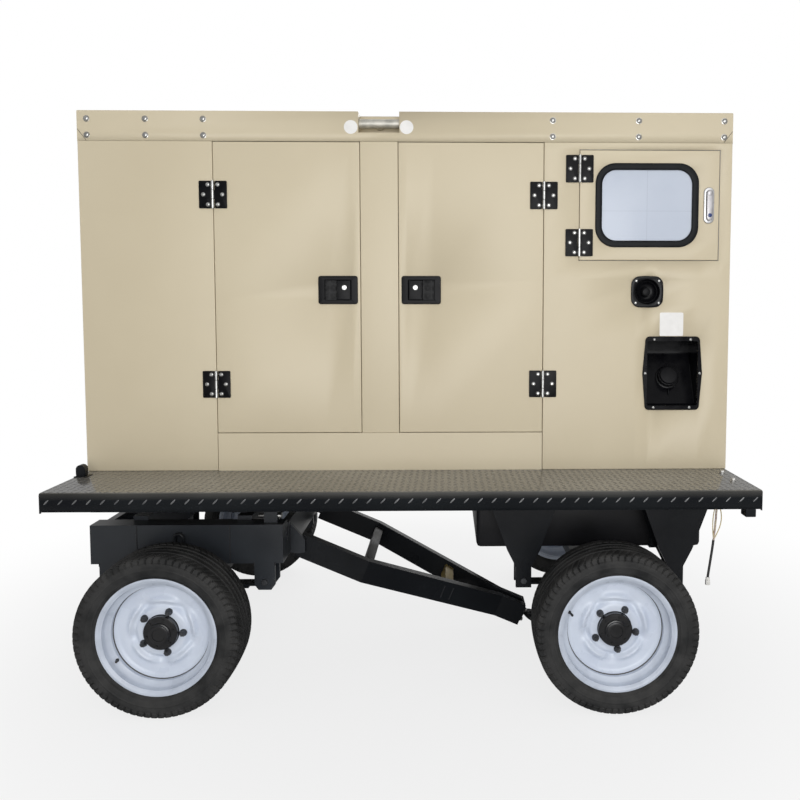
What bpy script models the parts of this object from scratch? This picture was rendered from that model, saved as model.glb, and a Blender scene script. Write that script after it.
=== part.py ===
"""Towable diesel generator: a sheet-metal canopy with its generating set, on a turntable trailer.

Metres, +Z up. X runs along the trailer with the turntable bogie at -X, -Y is the control side,
and the origin is on the ground under the middle of the deck. "near" is -Y and "far" is +Y.
"""

import math

import bpy
import bmesh
from mathutils import Matrix, Vector

# Clearances and sheet
GAP = 0.0003
SHUT_GAP = 0.002
WELD = 0.000005
SHEET = 0.003
RETURN = 0.020

# Trailer deck
DECK_LENGTH = 2.600
DECK_WIDTH = 1.735
DECK_TOP = 0.847
DECK_EDGE = 0.0705
DECK_PLATE = 0.005
EDGE_PLATE = 0.006
LUG_TO_CANOPY = 0.0775
LUG_PLATE = 0.030

# Main frame under the deck
RAIL_Y = 0.450
RAIL_WIDTH = 0.080
RAIL_DROP = 0.100
CROSS_WIDTH = 0.060

# Wheels and axles
TYRE_RADIUS = 0.3056
TYRE_WIDTH = 0.205
WHEEL_Y = 0.760
RIM_RADIUS = 0.2205
RIM_WIDTH = 0.178
BEAD_RADIUS = 0.203
STUD_CIRCLE = 0.080
HUB_RADIUS = 0.063
SPINDLE_RADIUS = 0.025
TYRE_FACETS = 20
HUB_FACETS = 16
AXLE_SIZE = 0.060
FRONT_AXLE_SETBACK = 0.395
REAR_AXLE_SETBACK = 0.516

# Leaf springs
SPRING_HALF = 0.314
SPRING_WIDTH = 0.060
LEAF_THICKNESS = 0.009
LEAF_COUNT = 4
EYE_RADIUS = 0.019
PIN_RADIUS = 0.010
HANGER_GAP = 0.006
HANGER_PLATE = 0.014
SPRING_CLEAR = 0.004

# Turntable bogie and drawbar
BOGIE_HALF = 0.390
BOGIE_BEAM = 0.090
BOGIE_DEPTH = 0.160
BOGIE_HIGH = 0.625
RING_OUTER = 0.300
RING_INNER = 0.240
RING_LOW = 0.640
RING_FACETS = 28
BOLSTER_OFFSET = 0.215
BOLSTER_WIDTH = 0.060
STAY_PIN_Z = 0.650
STAY_PIN_RADIUS = 0.010
STAY_BRACKET = 0.055
STAY_TO_END = 0.055
DRAWBAR_PITCH = math.radians(23.15)
DRAWBAR_HINGE_OUT = 0.420
DRAWBAR_HEEL = 0.020
HEEL_HALF = 0.022
EAR_PIN = 0.014
EAR_FACETS = 20
DRAWBAR_HINGE_Z = 0.485
DRAWBAR_DEPTH = 0.100
DRAWBAR_RAIL = 0.040
DRAWBAR_HALF = 0.320
DRAWBAR_STRAIGHT = 0.309
DRAWBAR_SECOND_BAR = 0.695
DRAWBAR_TONGUE = 0.959
DRAWBAR_LENGTH = 1.0776
TONGUE_HALF = 0.060
TOWING_RING = 0.045
TOWING_WIRE = 0.013

# Lamp lead, as (along, down) from its gland
LEAD_TO_END = 0.125
LEAD_Y = -0.750
LEAD_RADIUS = 0.004
LEAD_ROUTE = [
    (0.0, 0.0), (-0.001, -0.040), (-0.004, -0.090), (-0.009, -0.140),
    (-0.015, -0.190), (-0.022, -0.240), (-0.029, -0.290),
]

# Canopy
CANOPY_WIDTH = 0.985
CANOPY_TOP = 2.283
ROOF_BAND = 0.118
SKID_HEIGHT = 0.153
DOOR_WIDTH = 0.580
DOOR_RETURN = 0.025
POST_WIDTH = 0.150
POST_X = -0.114
LIFT_RECESS = 0.163
LIFT_DEPTH = 0.085
LIFT_DROP = 0.083
LIFT_BAR_RADIUS = 0.018
LIFT_BAR_DROP = 0.040

# Hinges
HINGE_HEIGHT = 0.108
HINGE_LEAF = 0.054
LEAF_PLATE = 0.004
KNUCKLE_RADIUS = 0.006
KNUCKLE_OUT = 0.0065
UPPER_HINGE_Z = 1.955
LOWER_HINGE_Z = 1.199

# Paddle latches
LATCH_WIDTH = 0.158
LATCH_HEIGHT = 0.113
LATCH_INSET = 0.0895
LATCH_Z = 1.578
DISH_WIDTH = 0.104
DISH_HEIGHT = 0.079
DISH_DEPTH = 0.021
PADDLE_WIDTH = 0.057

# Control door, its window and its handle
CONTROL_WIDTH = 0.562
CONTROL_HEIGHT = 0.4365
CONTROL_TO_END = 0.050
CONTROL_LOW = 1.6985
CONTROL_RETURN = 0.012
CONTROL_HINGE_Z = (2.061, 1.768)
WINDOW_WIDTH = 0.362
WINDOW_HEIGHT = 0.280
WINDOW_TO_EDGE = 0.110
WINDOW_LOW = 1.777
SEAL_WIDTH = 0.027
SEAL_PROUD = 0.005
PANE = 0.004
HANDLE_LENGTH = 0.144
HANDLE_WIDTH = 0.042
HANDLE_TO_EDGE = 0.042
HANDLE_Z = 1.917

# Emergency stop and fuel filler
STOP_TO_END = 0.3355
STOP_Z = 1.5715
STOP_WIDTH = 0.131
STOP_BOWL = 0.050
STOP_DEPTH = 0.030
STOP_TRAVEL = 0.006
FILLER_TO_END = 0.228
FILLER_LOW = 1.091
FILLER_HEIGHT = 0.300
FILLER_WIDTH = 0.244
FILLER_FLANGE = 0.019
FILLER_DEPTH = 0.120
CAP_RADIUS = 0.043
NECK_RADIUS = 0.034

# Generating set
CRANK_Z = 1.300
FAN_Z = 1.360
FAN_RADIUS = 0.220
FAN_SHAFT = 0.020
ENGINE_RIGHT = 0.060
ENGINE_LENGTH = 0.580
ENGINE_HALF = 0.150
HOUSING_RADIUS = 0.200
ALTERNATOR_RADIUS = 0.190
ALTERNATOR_LENGTH = 0.560
RUNNER_Y = 0.230
RUNNER_WIDTH = 0.060
MUFFLER_RADIUS = 0.090

# Derived places
HALF_LENGTH = DECK_LENGTH / 2
HALF_DECK = DECK_WIDTH / 2
DECK_LOW = DECK_TOP - DECK_EDGE
DECK_UNDER = DECK_TOP - DECK_PLATE
RAIL_LOW = DECK_LOW - RAIL_DROP
KING_X = FRONT_AXLE_SETBACK - HALF_LENGTH
REAR_X = HALF_LENGTH - REAR_AXLE_SETBACK
SPRING_LOW = TYRE_RADIUS + AXLE_SIZE / 2 + GAP
SPRING_TOP = SPRING_LOW + LEAF_COUNT * LEAF_THICKNESS
EYE_Z = SPRING_TOP - LEAF_THICKNESS / 2 + EYE_RADIUS
BOGIE_LOW = max(BOGIE_HIGH - BOGIE_DEPTH, EYE_Z + EYE_RADIUS + SPRING_CLEAR)
FACE = CANOPY_WIDTH / 2
PANEL_LOW = DECK_TOP + GAP
BAND_LOW = CANOPY_TOP - ROOF_BAND
PANEL_HIGH = BAND_LOW - GAP
SKID_TOP = DECK_TOP + SKID_HEIGHT
DOOR_LOW = SKID_TOP + SHUT_GAP
DOOR_HIGH = BAND_LOW - SHUT_GAP
DOOR_FREE = POST_WIDTH / 2 + SHUT_GAP
DOOR_HINGED = DOOR_FREE + DOOR_WIDTH + SHUT_GAP / 2
PANEL_EDGE = DOOR_FREE + DOOR_WIDTH + SHUT_GAP
CORNER_CLEAR = SHEET + RETURN + 2 * GAP
CONTROL_RIGHT = HALF_LENGTH - CONTROL_TO_END
CONTROL_LEFT = CONTROL_RIGHT - CONTROL_WIDTH
CONTROL_HIGH = CONTROL_LOW + CONTROL_HEIGHT
WINDOW_MIDDLE = (CONTROL_RIGHT - WINDOW_TO_EDGE - WINDOW_WIDTH / 2, -FACE, WINDOW_LOW + WINDOW_HEIGHT / 2)
HINGE_Y = FACE + KNUCKLE_OUT
LEAD_X = HALF_LENGTH - LEAD_TO_END
LIFT_Z = CANOPY_TOP - LIFT_BAR_DROP


# ---------------------------------------------------------------- shapes

def shape_of(points, faces):
    """A closed bmesh from points and faces, with every face turned outwards."""
    shape = bmesh.new()
    verts = [shape.verts.new(point) for point in points]
    for face in faces:
        shape.faces.new([verts[i] for i in face])
    bmesh.ops.recalc_face_normals(shape, faces=shape.faces)
    return shape


def block(x, y, z):
    """A box from three (low, high) spans, given in either order."""
    points = [(a, b, c) for a in x for b in y for c in z]
    faces = [(0, 1, 3, 2), (4, 6, 7, 5), (0, 4, 5, 1), (2, 3, 7, 6), (0, 2, 6, 4), (1, 5, 7, 3)]
    return shape_of(points, faces)


def prism(outline, along, span):
    """An outline of (u, v) points pushed along one axis: X takes (y, z), Y takes (x, z), Z takes (x, y)."""
    place = {"X": lambda u, v, w: (w, u, v), "Y": lambda u, v, w: (u, w, v), "Z": lambda u, v, w: (u, v, w)}
    count = len(outline)
    points = [place[along](u, v, w) for w in span for u, v in outline]
    sides = [(i, (i + 1) % count, (i + 1) % count + count, i + count) for i in range(count)]
    return shape_of(points, [tuple(range(count)), tuple(range(2 * count - 1, count - 1, -1))] + sides)


def turned(profile, along, centre, segments):
    """A closed (radius, distance) profile turned about an axis through centre; radius 0 makes a pole."""
    rings = []
    points = []
    for radius, distance in profile:
        if radius == 0:
            rings.append([len(points)] * segments)
            points.append((0.0, 0.0, distance))
            continue
        rings.append(list(range(len(points), len(points) + segments)))
        for step in range(segments):
            angle = 2 * math.pi * step / segments
            points.append((radius * math.cos(angle), radius * math.sin(angle), distance))
    faces = []
    for low, high in zip(rings, rings[1:] + rings[:1]):
        for step in range(segments):
            after = (step + 1) % segments
            face = list(dict.fromkeys((low[step], low[after], high[after], high[step])))
            if len(face) > 2:
                faces.append(face)
    shape = shape_of(points, faces)
    turn = {
        "X": Matrix.Rotation(math.pi / 2, 4, "Y"),
        "Y": Matrix.Rotation(-math.pi / 2, 4, "X"),
        "Z": Matrix.Identity(4),
    }[along]
    shape.transform(Matrix.Translation(centre) @ turn)
    return shape


def bore_for(radius, segments=12):
    """The radius of a faceted bore in which a faceted shaft of this radius turns freely."""
    return radius / math.cos(math.pi / segments) + GAP


def rod(radius, along, centre, span, segments=12):
    """A cylinder on an axis through centre, from span[0] to span[1] along it."""
    low, high = min(span), max(span)
    return turned([(0, low), (radius, low), (radius, high), (0, high)], along, centre, segments)


def rounded(width, height, radius, centre=(0.0, 0.0), steps=3):
    """The outline of a rectangle with round corners."""
    outline = []
    for turn, (sx, sy) in enumerate(((1, 1), (-1, 1), (-1, -1), (1, -1))):
        for step in range(steps + 1):
            angle = math.pi / 2 * (turn + step / steps)
            outline.append((
                centre[0] + sx * (width / 2 - radius) + radius * math.cos(angle),
                centre[1] + sy * (height / 2 - radius) + radius * math.sin(angle),
            ))
    return outline


def moved(shape, matrix):
    shape.transform(matrix)
    return shape


# ---------------------------------------------------------------- nodes

def clear_scene():
    for item in list(bpy.data.objects):
        bpy.data.objects.remove(item)


def finish(name, colour, roughness, metallic):
    """A Principled material for one sub-part."""
    material = bpy.data.materials.new(name)
    material.use_nodes = True
    shader = material.node_tree.nodes["Principled BSDF"]
    shader.inputs["Base Color"].default_value = (*colour, 1.0)
    shader.inputs["Roughness"].default_value = roughness
    shader.inputs["Metallic"].default_value = metallic
    return material


def object_from(name, shape):
    mesh = bpy.data.meshes.new(name)
    shape.to_mesh(mesh)
    shape.free()
    item = bpy.data.objects.new(name, mesh)
    bpy.context.scene.collection.objects.link(item)
    return item


def joined(name, adds, cuts=()):
    """One solid: the first shape, united with the other adds, less the cuts."""
    item = object_from(name, adds[0])
    helpers = []
    for operation, shapes in (("UNION", adds[1:]), ("DIFFERENCE", cuts)):
        for shape in shapes:
            helper = object_from(name + "_tool", shape)
            helper.hide_render = True
            helper.display_type = "WIRE"
            helpers.append(helper)
            step = item.modifiers.new(operation.title(), "BOOLEAN")
            step.operation = operation
            step.solver = "EXACT"
            step.object = helper
    if helpers:
        bpy.context.view_layer.update()
        evaluated = item.evaluated_get(bpy.context.evaluated_depsgraph_get())
        result = bmesh.new()
        result.from_mesh(bpy.data.meshes.new_from_object(evaluated))
        bmesh.ops.remove_doubles(result, verts=result.verts, dist=WELD)
        bmesh.ops.dissolve_degenerate(result, edges=result.edges, dist=WELD)
        item.modifiers.clear()
        result.to_mesh(item.data)
        result.free()
        for helper in helpers:
            bpy.data.objects.remove(helper)
    return item


def shell_of(adds, cuts):
    """The solid that the adds and cuts leave, as a bmesh for more work."""
    item = joined("shell", adds, cuts)
    shape = bmesh.new()
    shape.from_mesh(item.data)
    bpy.data.objects.remove(item)
    return shape


def node(name, look, adds, cuts=(), origin=(0.0, 0.0, 0.0), parent=None, smooth=False):
    """A finished sub-part, with its origin where its joint's axis is, or its own centre."""
    item = joined(name, adds, cuts)
    item.data.transform(Matrix.Translation(-Vector(origin)))
    item.location = origin
    item.data.materials.clear()
    item.data.materials.append(finish(name, *look))
    if smooth:
        item.data.shade_smooth()
        item.data.set_sharp_from_angle(angle=math.radians(35))
    if parent:
        bpy.context.view_layer.update()
        item.parent = parent
        item.matrix_parent_inverse = parent.matrix_world.inverted()
    return item


def pivot(name, place, parent=None):
    """An empty on a joint's axis, which carries the sub-parts that move together."""
    item = bpy.data.objects.new(name, None)
    bpy.context.scene.collection.objects.link(item)
    item.location = place
    if parent:
        bpy.context.view_layer.update()
        item.parent = parent
        item.matrix_parent_inverse = parent.matrix_world.inverted()
    bpy.context.view_layer.update()
    return item


BLACK_PAINT = ((0.012, 0.013, 0.015), 0.38, 0.0)
SAND_PAINT = ((0.63, 0.56, 0.41), 0.42, 0.0)
WHITE_PAINT = ((0.78, 0.79, 0.80), 0.30, 0.0)
BLACK_PLASTIC = ((0.012, 0.012, 0.013), 0.45, 0.0)
BLACK_RUBBER = ((0.018, 0.018, 0.018), 0.85, 0.0)
TYRE_RUBBER = ((0.035, 0.034, 0.033), 0.88, 0.0)
GREY_STEEL = ((0.45, 0.45, 0.44), 0.35, 1.0)
CAST_IRON = ((0.06, 0.07, 0.08), 0.6, 0.4)
ENGINE_PAINT = ((0.03, 0.07, 0.05), 0.45, 0.0)
FILM = ((0.62, 0.68, 0.74), 0.25, 0.0)


# ---------------------------------------------------------------- trailer frame

def make_deck():
    """A chequer plate tray with a folded edge, a lashing lug, a lamp bracket and the lead's gland."""
    tray = block((-HALF_LENGTH, HALF_LENGTH), (-HALF_DECK, HALF_DECK), (DECK_LOW, DECK_TOP))
    hollow = block(
        (EDGE_PLATE - HALF_LENGTH, HALF_LENGTH - EDGE_PLATE),
        (EDGE_PLATE - HALF_DECK, HALF_DECK - EDGE_PLATE),
        (DECK_LOW - 0.01, DECK_UNDER),
    )
    lug_x = -HALF_LENGTH + 0.022
    lug_y = -FACE - LUG_TO_CANOPY
    lug = prism(rounded(0.036, 0.052, 0.012, (lug_x, DECK_TOP + 0.020)), "Y", (lug_y - LUG_PLATE, lug_y))
    lamp_bracket = block((HALF_LENGTH - 0.060, HALF_LENGTH - 0.022), (-HALF_DECK, -HALF_DECK + 0.05),
                         (DECK_LOW - 0.030, DECK_LOW + 0.02))
    gland = block((LEAD_X - 0.018, LEAD_X + 0.018), (-HALF_DECK + 0.002, LEAD_Y + 0.018),
                  (DECK_LOW, DECK_LOW + 0.012))
    return node("deck", BLACK_PAINT, [shell_of([tray], [hollow]), lug, lamp_bracket, gland])


def rail(side, span):
    """A box-section rail along X."""
    across = (side * (RAIL_Y - RAIL_WIDTH / 2), side * (RAIL_Y + RAIL_WIDTH / 2))
    return block(span, across, (RAIL_LOW, DECK_UNDER - GAP))


def spring_hanger(x, side, outline):
    """Two cheek plates about a spring's eye, with the eye's pin through both."""
    half = SPRING_WIDTH / 2 + HANGER_GAP
    placed = [(x + u, z) for u, z in outline]
    low = side * (RAIL_Y - half - HANGER_PLATE)
    high = side * (RAIL_Y + half + HANGER_PLATE)
    return [
        prism(placed, "Y", (low, side * (RAIL_Y - half))),
        prism(placed, "Y", (side * (RAIL_Y + half), high)),
        rod(PIN_RADIUS, "Y", (x, 0, EYE_Z), (low, high)),
    ]


def make_chassis():
    """Two main rails with cross members, the turntable's pedestal and the rear spring hangers."""
    rail_end = HALF_LENGTH - EDGE_PLATE - GAP
    across = (GAP - RAIL_Y - RAIL_WIDTH / 2, RAIL_Y + RAIL_WIDTH / 2 - GAP)
    cross_low = DECK_LOW - 0.075
    adds = [rail(side, (-rail_end, rail_end)) for side in (-1, 1)]
    last = rail_end - CROSS_WIDTH / 2
    for x in (-last, -0.010, REAR_X - 0.290, REAR_X + 0.310, last):
        adds.append(block((x - CROSS_WIDTH / 2, x + CROSS_WIDTH / 2), across, (cross_low, DECK_UNDER - GAP)))
    slant = 0.090
    half = BOLSTER_WIDTH / 2
    for x, lean in ((KING_X - BOLSTER_OFFSET, slant), (KING_X + BOLSTER_OFFSET, 0.0)):
        outline = [(x - half, RAIL_LOW), (x + half, RAIL_LOW), (x + half + lean, DECK_LOW + 0.02),
                   (x - half + lean, DECK_LOW + 0.02)]
        adds.append(prism(outline, "Y", (-RAIL_Y - 0.05, RAIL_Y + 0.05)))
    plate = RING_OUTER + 0.045
    adds.append(block((KING_X - plate, KING_X + plate), across, (RAIL_LOW, RAIL_LOW + 0.010)))
    top = DECK_LOW + 0.02
    rear_shape = [(-0.171, top), (0.171, top), (0.068, 0.514), (0.032, 0.443), (0.032, 0.357),
                  (-0.032, 0.357), (-0.032, 0.443), (-0.068, 0.514)]
    for x in (REAR_X - SPRING_HALF, REAR_X + SPRING_HALF):
        for side in (-1, 1):
            adds += spring_hanger(x, side, rear_shape)
            web = side * RAIL_Y
            adds.append(block((x - 0.030, x + 0.030), (web - 0.040, web + 0.040), (0.470, 0.560)))
    return node("chassis_frame", BLACK_PAINT, adds)


def make_turntable_ring():
    """The upper half of the ball ring, with a spigot that runs inside the lower half."""
    top = RAIL_LOW - GAP
    low = RING_LOW + 0.018 + GAP
    spigot = RING_INNER * math.cos(math.pi / RING_FACETS) - GAP
    tip = RING_LOW + 0.005
    profile = [(RING_OUTER, low), (RING_OUTER, top), (spigot - 0.012, top), (spigot - 0.012, tip),
               (spigot, tip), (spigot, low)]
    ring = turned(profile, "Z", (KING_X, 0, 0), RING_FACETS)
    return node("turntable_ring", GREY_STEEL, [ring], smooth=True)


def make_axle(name, x, parent=None):
    """A square axle beam with spring pads and a round spindle at each end."""
    beam_end = WHEEL_Y - 0.062
    spindle_end = WHEEL_Y + 0.038
    half = AXLE_SIZE / 2
    adds = [
        block((x - half, x + half), (-beam_end, beam_end), (TYRE_RADIUS - half, TYRE_RADIUS + half)),
        rod(SPINDLE_RADIUS, "Y", (x, 0, TYRE_RADIUS), (-spindle_end, spindle_end), HUB_FACETS),
    ]
    for side in (-1, 1):
        y = side * RAIL_Y
        low = TYRE_RADIUS - half - 0.010
        adds.append(block((x - 0.050, x + 0.050), (y - 0.045, y + 0.045), (low, low + 0.012)))
    return node(name, BLACK_PAINT, adds, parent=parent)


def make_spring(name, x, side, parent=None):
    """A leaf pack with a rolled eye at each end, lying on the axle."""
    outline = []
    for leaf in range(LEAF_COUNT):
        reach = (SPRING_HALF - 0.004) * (0.34 + 0.66 * leaf / (LEAF_COUNT - 1))
        z = SPRING_LOW + leaf * LEAF_THICKNESS
        outline += [(reach, z), (reach, z + LEAF_THICKNESS)]
    outline = [(x + u, z) for u, z in outline] + [(x - u, z) for u, z in reversed(outline)]
    y = (side * (RAIL_Y - SPRING_WIDTH / 2), side * (RAIL_Y + SPRING_WIDTH / 2))
    adds = [prism(outline, "Y", y)]
    bores = []
    for end in (x - SPRING_HALF, x + SPRING_HALF):
        adds.append(rod(EYE_RADIUS, "Y", (end, 0, EYE_Z), y))
        bores.append(rod(PIN_RADIUS + GAP, "Y", (end, 0, EYE_Z), (y[0] - side * 0.01, y[1] + side * 0.01)))
    return node(name, BLACK_PAINT, adds, bores, parent=parent)


def make_under_deck_tank():
    """The long box hung under the deck between the rear spring hangers."""
    half = RAIL_Y - SPRING_WIDTH / 2 - HANGER_GAP - HANGER_PLATE - 0.012
    left = REAR_X - 0.494
    right = REAR_X + 0.453
    low, high = 0.490, DECK_LOW - 0.075 - GAP
    outline = [(left, low), (right, low), (right, high), (left - 0.010, high)]
    return node("under_deck_tank", BLACK_PLASTIC, [prism(outline, "Y", (-half, half))])


# ---------------------------------------------------------------- lamp lead

def make_lamp_lead():
    """The lamp lead, hanging from its gland under the deck, and the connector on its end."""
    top = DECK_LOW - GAP
    places = [Vector((LEAD_X + u, LEAD_Y, top + w)) for u, w in LEAD_ROUTE]
    points = []
    for index in range(len(places) - 1):
        before = places[max(index - 1, 0)]
        after = places[min(index + 2, len(places) - 1)]
        for step in range(3):
            t = step / 3
            a, b = places[index], places[index + 1]
            points.append(0.5 * (2 * a + (b - before) * t + (2 * before - 5 * a + 4 * b - after) * t * t
                                 + (3 * a - before - 3 * b + after) * t ** 3))
    points.append(places[-1])
    curve = bpy.data.curves.new("lamp_lead", "CURVE")
    curve.dimensions = "3D"
    curve.bevel_depth = LEAD_RADIUS
    curve.bevel_resolution = 2
    curve.use_fill_caps = True
    line = curve.splines.new("POLY")
    line.points.add(len(points) - 1)
    for point, place in zip(line.points, points):
        point.co = (*place, 1.0)
    item = bpy.data.objects.new("lamp_lead", curve)
    bpy.context.scene.collection.objects.link(item)
    curve.materials.append(finish("lamp_lead", *BLACK_RUBBER))
    end = places[-1]
    tip = end.z - 0.0015
    node("lamp_connector", WHITE_PAINT,
         [block((end.x - 0.008, end.x + 0.008), (end.y - 0.006, end.y + 0.006), (tip - 0.030, tip))])


# ---------------------------------------------------------------- bogie and drawbar

def make_bogie(parent):
    """Two side beams, bolsters, the lower ring, spring hangers and the drawbar's ears."""
    left, right = KING_X - BOGIE_HALF, KING_X + BOGIE_HALF
    outer = RAIL_Y + SPRING_WIDTH / 2 + HANGER_GAP + HANGER_PLATE
    inner = outer - BOGIE_BEAM
    adds = [block((left, right), (side * inner, side * outer), (BOGIE_LOW, BOGIE_HIGH)) for side in (-1, 1)]
    across = (-inner - 0.01, inner + 0.01)
    half = BOLSTER_WIDTH / 2
    for x in (KING_X - BOLSTER_OFFSET, KING_X + BOLSTER_OFFSET):
        adds.append(block((x - half, x + half), across, (BOGIE_LOW + 0.03, RING_LOW + 0.002)))
    for x in (left + 0.015, right - 0.015):
        adds.append(block((x - 0.015, x + 0.015), across, (BOGIE_LOW, BOGIE_HIGH - 0.02)))
    ring = [(RING_OUTER, RING_LOW), (RING_OUTER, RING_LOW + 0.018), (RING_INNER, RING_LOW + 0.018),
            (RING_INNER, RING_LOW)]
    adds.append(turned(ring, "Z", (KING_X, 0, 0), RING_FACETS))
    hanger = [(-0.042, BOGIE_LOW + 0.01), (0.042, BOGIE_LOW + 0.01), (0.042, 0.375), (0.026, 0.354),
              (-0.026, 0.354), (-0.042, 0.375)]
    for x in (KING_X - SPRING_HALF, KING_X + SPRING_HALF):
        for side in (-1, 1):
            adds += spring_hanger(x, side, hanger)
    hinge_x = KING_X + DRAWBAR_HINGE_OUT
    pin_end = DRAWBAR_HALF - DRAWBAR_RAIL - 0.005
    for side in (-1, 1):
        ear_in = side * (DRAWBAR_HALF + 0.0035)
        ear_out = side * (DRAWBAR_HALF + 0.0235)
        outline = [(right - 0.03, BOGIE_LOW), (right - 0.03, BOGIE_HIGH - 0.04), (right, BOGIE_HIGH - 0.04),
                   (hinge_x + 0.030, DRAWBAR_HINGE_Z + 0.030), (hinge_x + 0.030, DRAWBAR_HINGE_Z - 0.025),
                   (hinge_x, DRAWBAR_HINGE_Z - 0.030)]
        adds.append(prism(outline, "Y", (ear_in, ear_out)))
        adds.append(rod(EAR_PIN, "Y", (hinge_x, 0, DRAWBAR_HINGE_Z), (ear_out, side * pin_end), EAR_FACETS))
    bracket_x = right - STAY_TO_END
    adds.append(block((bracket_x - STAY_BRACKET / 2, bracket_x + STAY_BRACKET / 2),
                      (-RAIL_Y - 0.020, -RAIL_Y + 0.020), (BOGIE_HIGH - 0.01, STAY_PIN_Z + 0.020)))
    bore = rod(STAY_PIN_RADIUS + GAP, "X", (0, -RAIL_Y, STAY_PIN_Z), (left, hinge_x))
    node("bogie_frame", BLACK_PAINT, adds, [bore], parent=parent)


def make_stay_pin(parent):
    """The pin that holds the raised drawbar, parked in its bracket on the bogie's beam."""
    x = KING_X + BOGIE_HALF - STAY_TO_END
    centre = (0, -RAIL_Y, STAY_PIN_Z)
    head = x + STAY_BRACKET / 2 + GAP
    adds = [
        rod(STAY_PIN_RADIUS, "X", centre, (x - STAY_BRACKET / 2 - 0.025, head + 0.004)),
        rod(STAY_PIN_RADIUS + 0.004, "X", centre, (head, head + 0.014)),
    ]
    node("drawbar_stay_pin", GREY_STEEL, adds, origin=(x, -RAIL_Y, STAY_PIN_Z), parent=parent)


def make_drawbar(parent):
    """An A-frame drawbar in its own plane, then pitched down about its hinge, and its towing eye."""
    hinge = Vector((KING_X + DRAWBAR_HINGE_OUT, 0, DRAWBAR_HINGE_Z))
    place = Matrix.Translation(hinge) @ Matrix.Rotation(DRAWBAR_PITCH, 4, "Y")
    half = DRAWBAR_DEPTH / 2
    adds = []
    outer, tongue = DRAWBAR_HALF, TONGUE_HALF
    inner, throat = outer - DRAWBAR_RAIL, tongue - DRAWBAR_RAIL
    for side in (-1, 1):
        rail = [
            (-DRAWBAR_HEEL, side * outer), (DRAWBAR_STRAIGHT, side * outer),
            (DRAWBAR_TONGUE, side * tongue), (DRAWBAR_LENGTH, side * tongue),
            (DRAWBAR_LENGTH, side * throat), (DRAWBAR_TONGUE - 0.010, side * throat),
            (DRAWBAR_STRAIGHT - 0.010, side * inner), (-DRAWBAR_HEEL, side * inner),
        ]
        adds.append(prism(rail, "Z", (-half, half)))
    taper = (outer - tongue) / (DRAWBAR_TONGUE - DRAWBAR_STRAIGHT)
    for along in (DRAWBAR_STRAIGHT, DRAWBAR_SECOND_BAR):
        reach = outer - taper * (along - DRAWBAR_STRAIGHT) - DRAWBAR_RAIL / 2
        adds.append(block((along - 0.020, along + 0.020), (-reach, reach), (-0.030, 0.030)))
    adds.append(block((DRAWBAR_LENGTH - 0.012, DRAWBAR_LENGTH), (-tongue, tongue), (-half, half)))
    bore = rod(bore_for(EAR_PIN, EAR_FACETS), "Y", (0, 0, 0), (-2 * outer, 2 * outer), EAR_FACETS)
    across = (-2 * outer, 2 * outer)
    heel = [block((-0.06, 0.0), across, (side * HEEL_HALF, side * 0.2)) for side in (-1, 1)]
    frame = node("drawbar_frame", BLACK_PAINT, [moved(shape, place) for shape in adds],
                 [moved(shape, place) for shape in [bore] + heel], origin=hinge, parent=parent)
    start = DRAWBAR_LENGTH + GAP
    ring_x = start + 0.030 + TOWING_RING
    ring = []
    for step in range(6):
        angle = 2 * math.pi * step / 6
        ring.append((TOWING_RING + TOWING_WIRE * math.cos(angle), TOWING_WIRE * math.sin(angle)))
    eye = [
        turned(ring, "Z", (ring_x, 0, 0), 16),
        rod(0.012, "X", (0, 0, 0), (start + 0.006, start + 0.034)),
        block((start, start + 0.010), (-0.045, 0.045), (-0.035, 0.035)),
    ]
    node("towing_eye", BLACK_PAINT, [moved(shape, place) for shape in eye],
         origin=place @ Vector((ring_x, 0, 0)), parent=parent)
    return frame


# ---------------------------------------------------------------- wheels

def make_wheel(name, x, side, parent):
    """A tyre, a dished rim and a hub that turn together on the spindle.

    Each profile is (radius, distance), with the distance counted outwards from the wheel's middle.
    """
    centre = (x, side * WHEEL_Y, TYRE_RADIUS)
    half = TYRE_WIDTH / 2
    seat = BEAD_RADIUS + GAP
    lip = RIM_RADIUS + 0.002
    tyre = [
        (TYRE_RADIUS, -half * 0.80), (TYRE_RADIUS, half * 0.80),
        (TYRE_RADIUS - 0.030, half), (lip, 0.0822),
        (seat, 0.080), (seat, -0.080),
        (lip, -0.0822), (TYRE_RADIUS - 0.030, -half),
    ]
    flange = RIM_WIDTH / 2
    barrel = BEAD_RADIUS - 0.0045
    centre_bore = bore_for(HUB_RADIUS, TYRE_FACETS)
    rim = [
        (RIM_RADIUS, flange), (RIM_RADIUS, flange - 0.006), (BEAD_RADIUS, flange - 0.0085),
        (BEAD_RADIUS, 0.0085 - flange), (RIM_RADIUS, 0.006 - flange), (RIM_RADIUS, -flange),
        (barrel, 0.003 - flange), (barrel, 0.026), (centre_bore, 0.026),
        (centre_bore, 0.034), (barrel, 0.034), (barrel, flange - 0.003),
    ]
    bore = bore_for(SPINDLE_RADIUS, HUB_FACETS)
    hub = [
        (0, 0.067), (0.034, 0.067), (0.040, 0.052), (HUB_RADIUS, 0.048), (HUB_RADIUS, 0.026 - GAP),
        (STUD_CIRCLE + 0.022, 0.026 - GAP), (STUD_CIRCLE + 0.022, 0.012), (0.055, 0.006), (0.055, -0.060),
        (bore, -0.060), (bore, 0.042), (0, 0.042),
    ]
    pieces = (("tyre", TYRE_RUBBER, tyre, TYRE_FACETS), ("rim", WHITE_PAINT, rim, TYRE_FACETS),
              ("hub", BLACK_PAINT, hub, HUB_FACETS))
    for piece, look, profile, segments in pieces:
        shape = turned([(radius, side * out) for radius, out in profile], "Y", centre, segments)
        node(piece + "_" + name, look, [shape], origin=centre, parent=parent, smooth=True)


# ---------------------------------------------------------------- canopy shell

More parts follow.
